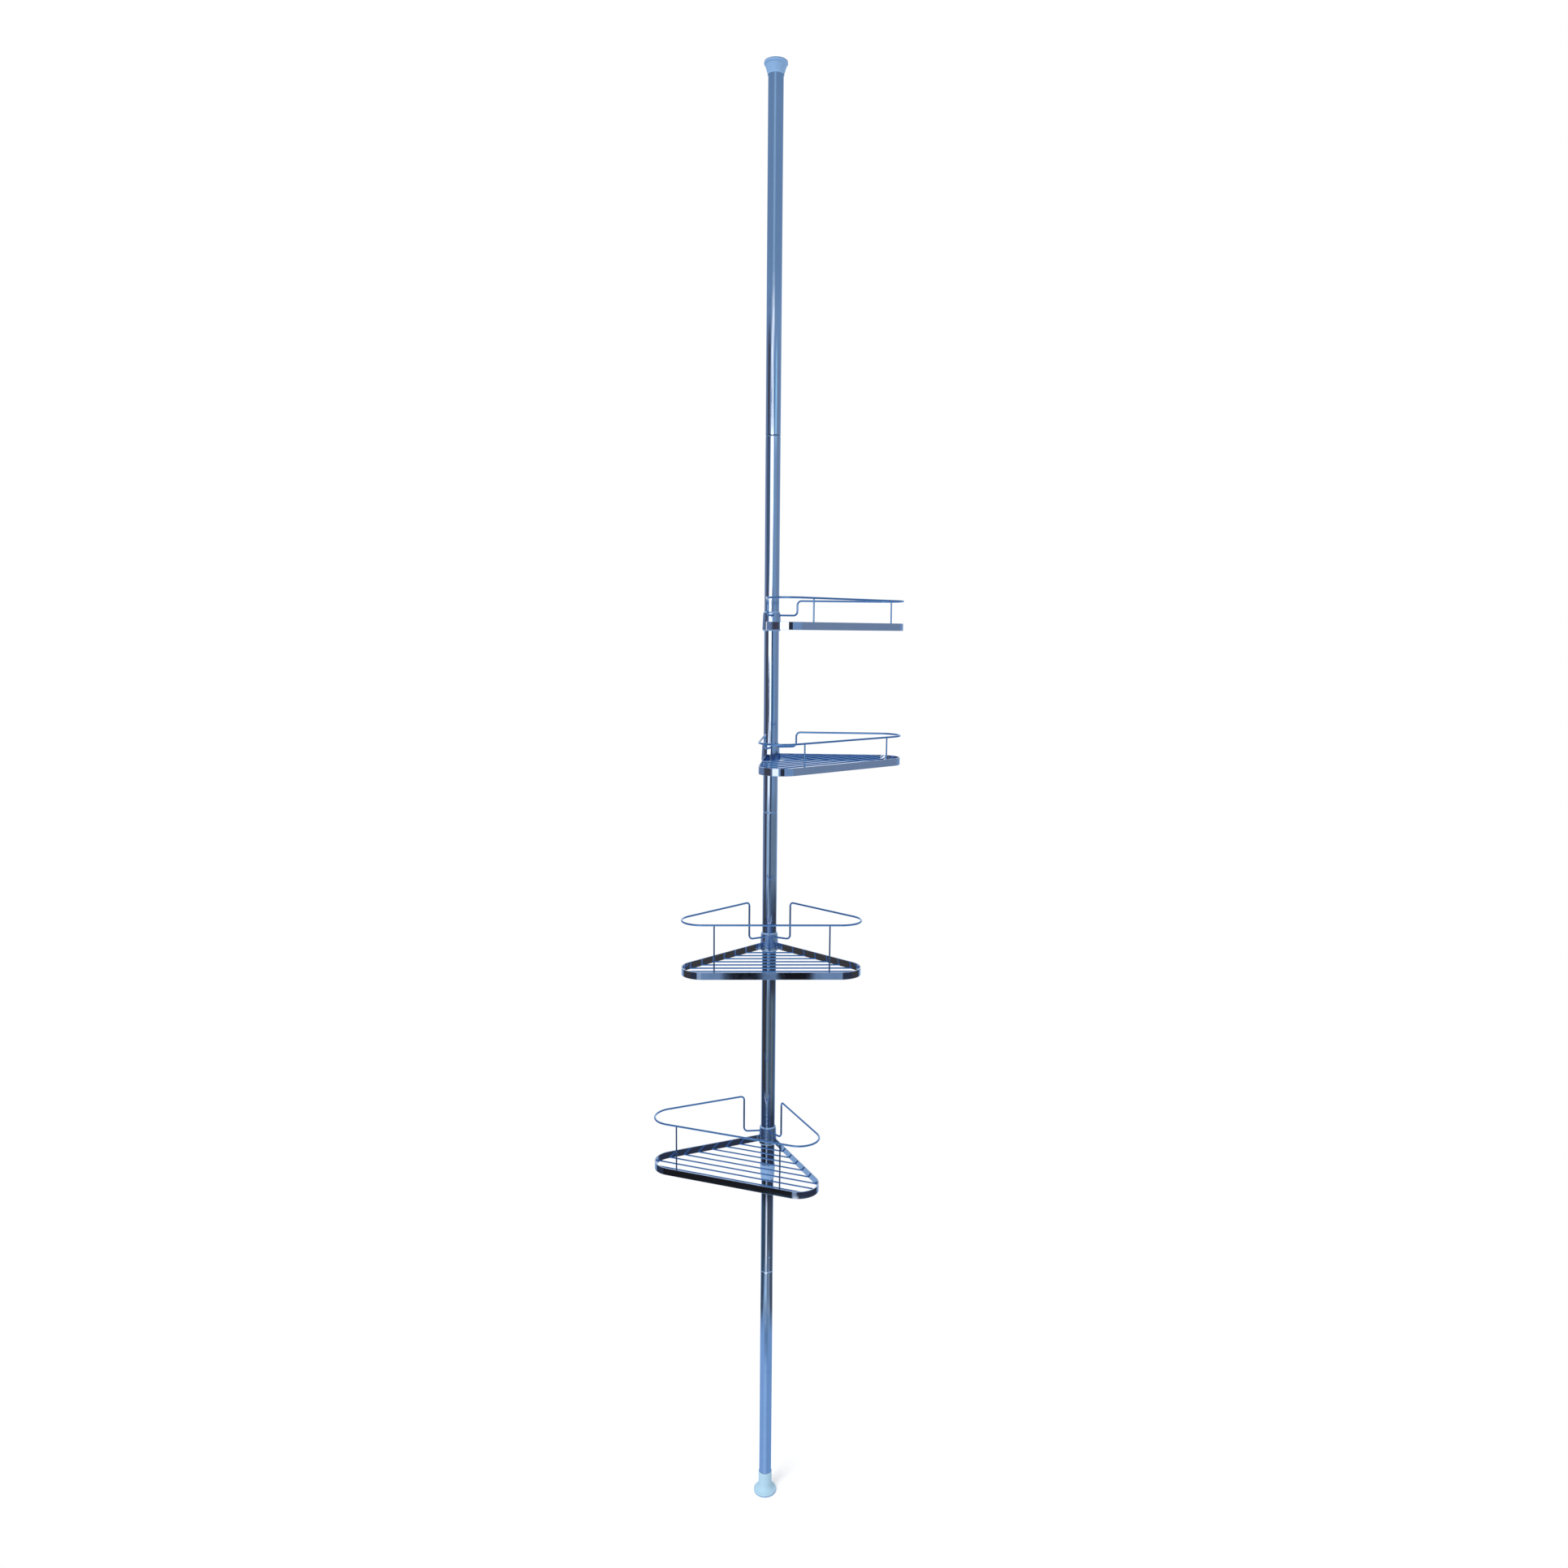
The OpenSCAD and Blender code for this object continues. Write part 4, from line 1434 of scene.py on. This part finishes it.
@dataclass
class Studio:
    """Plain pale floor, soft light and the camera of the photograph."""

    eye_y: float = -1970.3
    eye_up: float = 1575.5
    pitch: float = 7.50
    yaw: float = 0.670
    roll: float = -0.535
    focal_px: float = 1438.9
    frame_px: float = 1932.0
    sensor: float = 36.0
    floor_half: float = 6.0
    floor_fade: tuple[float, float] = (0.15, 0.9)
    floor_lift: float = 0.2
    floor_mottle: float = 3.0
    floor_paint: tuple[str, str] = ("#FAFBFD", "#F4F6F9")
    fill: float = 0.64
    key: float = 1.5
    key_turn: float = -35.0
    key_tilt: float = 48.0
    key_soft: float = 28.0

    # What the chrome reflects, painted in order: azimuths run from the camera's side towards
    # the object's right, and elevations up from level
    WALL = Panel("#8FAECF", 1.0, (-180, 180), (-90, 90))
    PANELS = (
        # Ceiling half of the room: blue-grey, deeper overhead, with a faint strip down its middle
        Panel("#84A1BF", 1.0, (-200, 200), (15, 95), (3, 6)),
        Panel("#A9C9E4", 1.0, (-22, 4), (15, 40), (16, 8)),
        Panel("#4A749F", 1.0, (-200, 200), (48, 95), (3, 10)),
        # Eye level: a dark flag on the left, a white softbox before the object, a flag's edge
        Panel("#8496B6", 1.0, (-200, -106), (-13, 14), (10, 2)),
        Panel("#55505A", 1.0, (-98, -48), (-13, 14), (24, 2)),
        Panel("#FFFFFF", 2.2, (-46, 2), (-2, 3), (4, 2)),
        Panel("#FFFFFF", 1.6, (-44, -12), (-12, -2)),
        Panel("#333845", 1.0, (-2, 18), (-13, 2), (2, 2)),
        Panel("#8F9EB4", 1.0, (66, 112), (-13, 13), (8, 3)),
        # Over the highest shelf the softbox widens, then narrows and fades towards the ceiling
        Panel("#5C6C84", 1.0, (-88, -36), (2, 9.6), (30, 2)),
        Panel("#94B2CF", 1.0, (4, 60), (2, 9.6), (8, 2)),
        Panel("#AABCD6", 1.0, (-50, -18), (9.6, 12), (10, 1.5)),
        Panel("#6598C0", 1.0, (4, 29), (9.6, 12.4), (8, 1.5)),
        Panel("#BCE7FF", 1.1, (30, 54), (8.8, 12.8), (10, 1.5)),
        Panel("#FFFFFF", 2.2, (-36, 4), (2, 9.6), (9, 1.6)),
        Panel("#FFFFFF", 2.0, (4, 11), (4.8, 9.6), (7, 1.6)),
        Panel("#FFFFFF", 1.3, (-21, 3), (9.6, 11.8), (10, 1.5)),
        Panel("#FFFFFF", 1.5, (-36, -7), (11.6, 13.8), (12, 1.5)),
        Panel("#FFFFFF", 1.35, (-24, 7), (13.4, 15.2), (14, 2)),
        # Between the two upper shelves it narrows from the left, beside a deep blue flag
        Panel("#5D626F", 1.0, (-62, -22), (-5, -1.6), (10, 1)),
        Panel("#FFFFFF", 1.7, (-24, 10), (-5, -1.6), (30, 1)),
        Panel("#3F7093", 1.0, (1, 30), (-5, -1.6), (8, 1)),
        Panel("#B6D1E5", 1.0, (-56, -15), (-13, -8.3), (14, 1)),
        Panel("#43566E", 1.0, (-14, 13), (-13, -8.3), (12, 1)),
        Panel("#8293A2", 1.0, (13, 110), (-13, -8.3), (14, 1)),
        # Below eye level: dark furniture with light gaps between its pieces
        Panel("#3A3F4F", 1.0, (-200, 200), (-32, -13)),
        Panel("#4E4947", 1.0, (-116, -66), (-22, -13)),
        Panel("#4E4947", 1.0, (70, 116), (-22, -13)),
        Panel("#AFC2D8", 1.0, (-30, -7), (-27, -13)),
        Panel("#8FA7C4", 1.0, (-7, 0.5), (-21, -13), (0.4, 2)),
        Panel("#1D1A1C", 1.0, (0.5, 5.1), (-21, -13), (0.3, 2)),
        Panel("#7F97B5", 1.0, (2.4, 3.2), (-21, -13), (0.15, 2)),
        Panel("#8FA7C4", 1.0, (5.1, 16), (-21, -13), (0.4, 2)),
        Panel("#262324", 1.0, (-66, -33), (-28.4, -22)),
        Panel("#A3C3E4", 1.0, (-160, -122), (-31, -13), (6, 2)),
        Panel("#A3C3E4", 1.0, (126, 160), (-31, -13), (6, 2)),
        Panel("#62727B", 1.0, (-44, 30), (-23, -17.8), (14, 0.8)),
        Panel("#93A1AB", 1.0, (-34, -3), (-23, -17.8), (20, 0.8)),
        Panel("#7C868C", 1.0, (36, 73), (-23, -17.8), (14, 0.8)),
        Panel("#627A92", 1.0, (84, 126), (-23, -17.8), (16, 0.8)),
        # Under the lowest shelf a bright gap between two dark pieces, fading into the ground
        Panel("#455B6D", 1.0, (-120, -38), (-32, -27.2), (12, 0.6)),
        Panel("#545B66", 1.0, (10, 122), (-32, -27.2), (14, 0.6)),
        Panel("#94A3B4", 1.0, (12, 62), (-31.4, -29.4), (24, 1.4)),
        Panel("#FFFFFF", 1.25, (-27, 2), (-30.2, -27.2), (16, 0.8)),
        Panel("#C2E4FE", 1.1, (-46, 5), (-31.6, -30.2), (18, 0.8)),
        Panel("#A4BACE", 1.0, (-68, 70), (-33, -31.4), (16, 0.8)),
        # Ground: blue near the object, deeper to its right, and paler towards its feet
        Panel("#8FB4DF", 1.0, (-200, 200), (-95, -32.4), (3, 1.6)),
        Panel("#9DC2EF", 1.0, (-200, -20), (-60, -32.4), (60, 1.6)),
        Panel("#7797B9", 1.0, (-30, 34), (-33.6, -32), (40, 1.2)),
        Panel("#AFD4FB", 1.0, (-38, 14), (-60, -33.8), (40, 1.2)),
        Panel("#D3E4F6", 1.0, (-200, 200), (-95, -48), (3, 10)),
        # White backdrop behind it
        Panel("#FFFFFF", 1.0, (150, 200), (-32, 60)),
        Panel("#FFFFFF", 1.0, (-200, -150), (-32, 60)),
    )

    def build(self) -> None:
        """Sets up the camera, world, floor and lamp."""
        self.camera()
        self.world()
        self.floor()
        self.lamp()
        bpy.context.scene.view_settings.view_transform = "Standard"

    def camera(self) -> None:
        """Puts the camera where the photograph was taken from."""
        yaw, pitch, roll = (math.radians(turn) for turn in (self.yaw, self.pitch, self.roll))
        ahead = Vector((
            math.sin(yaw) * math.cos(pitch), math.cos(yaw) * math.cos(pitch), -math.sin(pitch)))
        level = Vector((math.cos(yaw), -math.sin(yaw), 0))
        down = ahead.cross(level)
        right = math.cos(roll) * level + math.sin(roll) * down
        under = math.cos(roll) * down - math.sin(roll) * level
        turn = Matrix((right, -under, -ahead)).transposed()
        data = bpy.data.cameras.new("camera")
        data.sensor_width = self.sensor
        data.lens = self.focal_px / self.frame_px * self.sensor
        camera = bpy.data.objects.new("camera", data)
        eye = Vector((0, self.eye_y, self.eye_up)) * MM
        camera.matrix_world = Matrix.Translation(eye) @ turn.to_4x4()
        bpy.context.scene.collection.objects.link(camera)
        bpy.context.scene.camera = camera

    def world(self) -> None:
        """White to the camera, an even fill to dull surfaces, and a studio to polished ones."""
        world = bpy.data.worlds.new("studio")
        bpy.context.scene.world = world
        world.use_nodes = True
        tree = world.node_tree
        tree.nodes.clear()
        direction = add_node(tree, "ShaderNodeTexCoord").outputs["Generated"]
        toward = add_node(tree, "ShaderNodeSeparateXYZ", {0: direction})
        flip = add_node(
            tree, "ShaderNodeMath", {0: toward.outputs["Y"], 1: -1.0}, operation="MULTIPLY")
        around = add_node(
            tree, "ShaderNodeMath", {0: toward.outputs["X"], 1: flip.outputs[0]},
            operation="ARCTAN2")
        azimuth = add_node(tree, "ShaderNodeMath", {0: around.outputs[0]}, operation="DEGREES")
        above = add_node(tree, "ShaderNodeMath", {0: toward.outputs["Z"]}, operation="ARCSINE")
        elevation = add_node(tree, "ShaderNodeMath", {0: above.outputs[0]}, operation="DEGREES")
        seen = add_node(
            tree, "ShaderNodeMix", {0: 0.0, COLOUR_A: self.WALL.shade},
            data_type="RGBA").outputs[2]
        for panel in self.PANELS:
            share: bpy.types.NodeSocket | float = 1.0
            edges = (
                (azimuth, panel.azimuth[0], panel.soft[0]),
                (azimuth, panel.azimuth[1], -panel.soft[0]),
                (elevation, panel.elevation[0], panel.soft[1]),
                (elevation, panel.elevation[1], -panel.soft[1]),
            )
            for angle, edge, soft in edges:
                rise = add_node(
                    tree, "ShaderNodeMapRange",
                    {"Value": angle.outputs[0], "From Min": edge - soft / 2,
                     "From Max": edge + soft / 2},
                    interpolation_type="SMOOTHSTEP")
                share = add_node(
                    tree, "ShaderNodeMath", {0: share, 1: rise.outputs[0]},
                    operation="MULTIPLY").outputs[0]
            seen = add_node(
                tree, "ShaderNodeMix", {0: share, COLOUR_A: seen, COLOUR_B: panel.shade},
                data_type="RGBA").outputs[2]
        light = add_node(tree, "ShaderNodeLightPath")
        polished = add_node(
            tree, "ShaderNodeMath",
            {0: light.outputs["Is Glossy Ray"], 1: light.outputs["Is Transmission Ray"]},
            operation="MAXIMUM")
        dull = add_node(
            tree, "ShaderNodeMix",
            {0: polished.outputs[0], COLOUR_A: (self.fill, self.fill, self.fill, 1.0),
             COLOUR_B: seen},
            data_type="RGBA")
        final = add_node(
            tree, "ShaderNodeMix",
            {0: light.outputs["Is Camera Ray"], COLOUR_A: dull.outputs[2],
             COLOUR_B: (1.0, 1.0, 1.0, 1.0)},
            data_type="RGBA")
        glow = add_node(tree, "ShaderNodeBackground", {"Color": final.outputs[2]})
        add_node(tree, "ShaderNodeOutputWorld", {"Surface": glow.outputs[0]})

    def floor(self) -> None:
        """A pale floor that runs out to white and keeps the object's soft shadow."""
        half = self.floor_half
        mesh = bpy.data.meshes.new("floor")
        mesh.from_pydata(
            [(-half, -half, 0), (half, -half, 0), (half, half, 0), (-half, half, 0)], [],
            [(0, 1, 2, 3)])
        floor = new_object("floor", mesh)
        floor.visible_glossy = False
        material, tree, place = new_material("painted_studio_floor")
        tree.nodes.remove(tree.nodes["Principled BSDF"])
        tree.nodes.remove(tree.nodes["Material Output"])
        distance = add_node(tree, "ShaderNodeVectorMath", {0: place}, operation="LENGTH")
        far = add_node(
            tree, "ShaderNodeMapRange",
            {"Value": distance.outputs["Value"], "From Min": self.floor_fade[0],
             "From Max": self.floor_fade[1]},
            interpolation_type="SMOOTHSTEP")
        mottle = add_node(
            tree, "ShaderNodeTexNoise", {"Vector": place, "Scale": self.floor_mottle})
        tint = add_node(
            tree, "ShaderNodeMix",
            {0: mottle.outputs[0], COLOUR_A: linear(self.floor_paint[0]),
             COLOUR_B: linear(self.floor_paint[1])},
            data_type="RGBA")
        paint = add_node(tree, "ShaderNodeBsdfDiffuse", {"Color": tint.outputs[2]})
        lift = add_node(
            tree, "ShaderNodeEmission", {"Color": (1, 1, 1, 1), "Strength": self.floor_lift})
        near = add_node(tree, "ShaderNodeAddShader", {0: paint.outputs[0], 1: lift.outputs[0]})
        white = add_node(tree, "ShaderNodeEmission", {"Color": (1, 1, 1, 1), "Strength": 1.0})
        shown = add_node(
            tree, "ShaderNodeMixShader",
            {0: far.outputs[0], 1: near.outputs[0], 2: white.outputs[0]})
        light = add_node(tree, "ShaderNodeLightPath")
        surface = add_node(
            tree, "ShaderNodeMixShader",
            {0: light.outputs["Is Camera Ray"], 1: paint.outputs[0], 2: shown.outputs[0]})
        add_node(tree, "ShaderNodeOutputMaterial", {"Surface": surface.outputs[0]})
        mesh.materials.append(material)

    def lamp(self) -> None:
        """One broad soft lamp, high to the camera's left."""
        data = bpy.data.lights.new("key", "SUN")
        data.energy = self.key
        data.angle = math.radians(self.key_soft)
        lamp = bpy.data.objects.new("key", data)
        lamp.visible_glossy = False
        turn = math.radians(self.key_turn)
        tilt = math.radians(self.key_tilt)
        source = Vector((
            math.sin(turn) * math.cos(tilt), -math.cos(turn) * math.cos(tilt), math.sin(tilt)))
        lamp.matrix_world = source.to_track_quat("Z", "Y").to_matrix().to_4x4()
        bpy.context.scene.collection.objects.link(lamp)


def main() -> None:
    logging.basicConfig(level=logging.INFO, format="%(name)s: %(message)s")
    Studio().build()
    shop = Workshop()
    pole = Pole(shop)
    pole.build()
    shelves = [
        Shelf(shop, number=1, turn=44.6, rail_h=36.0),
        Shelf(shop, number=2, turn=41.3, rail_h=36.0),
        Shelf(shop, number=3, turn=1.4, rail_h=76.0),
        Shelf(shop, number=4, turn=-21.0, rail_h=76.0),
    ]
    for shelf in shelves:
        shelf.build()
    LOG.info("%d pieces made", sum(len(part.made) for part in (pole, *shelves)))


if __name__ == "__main__":
    main()
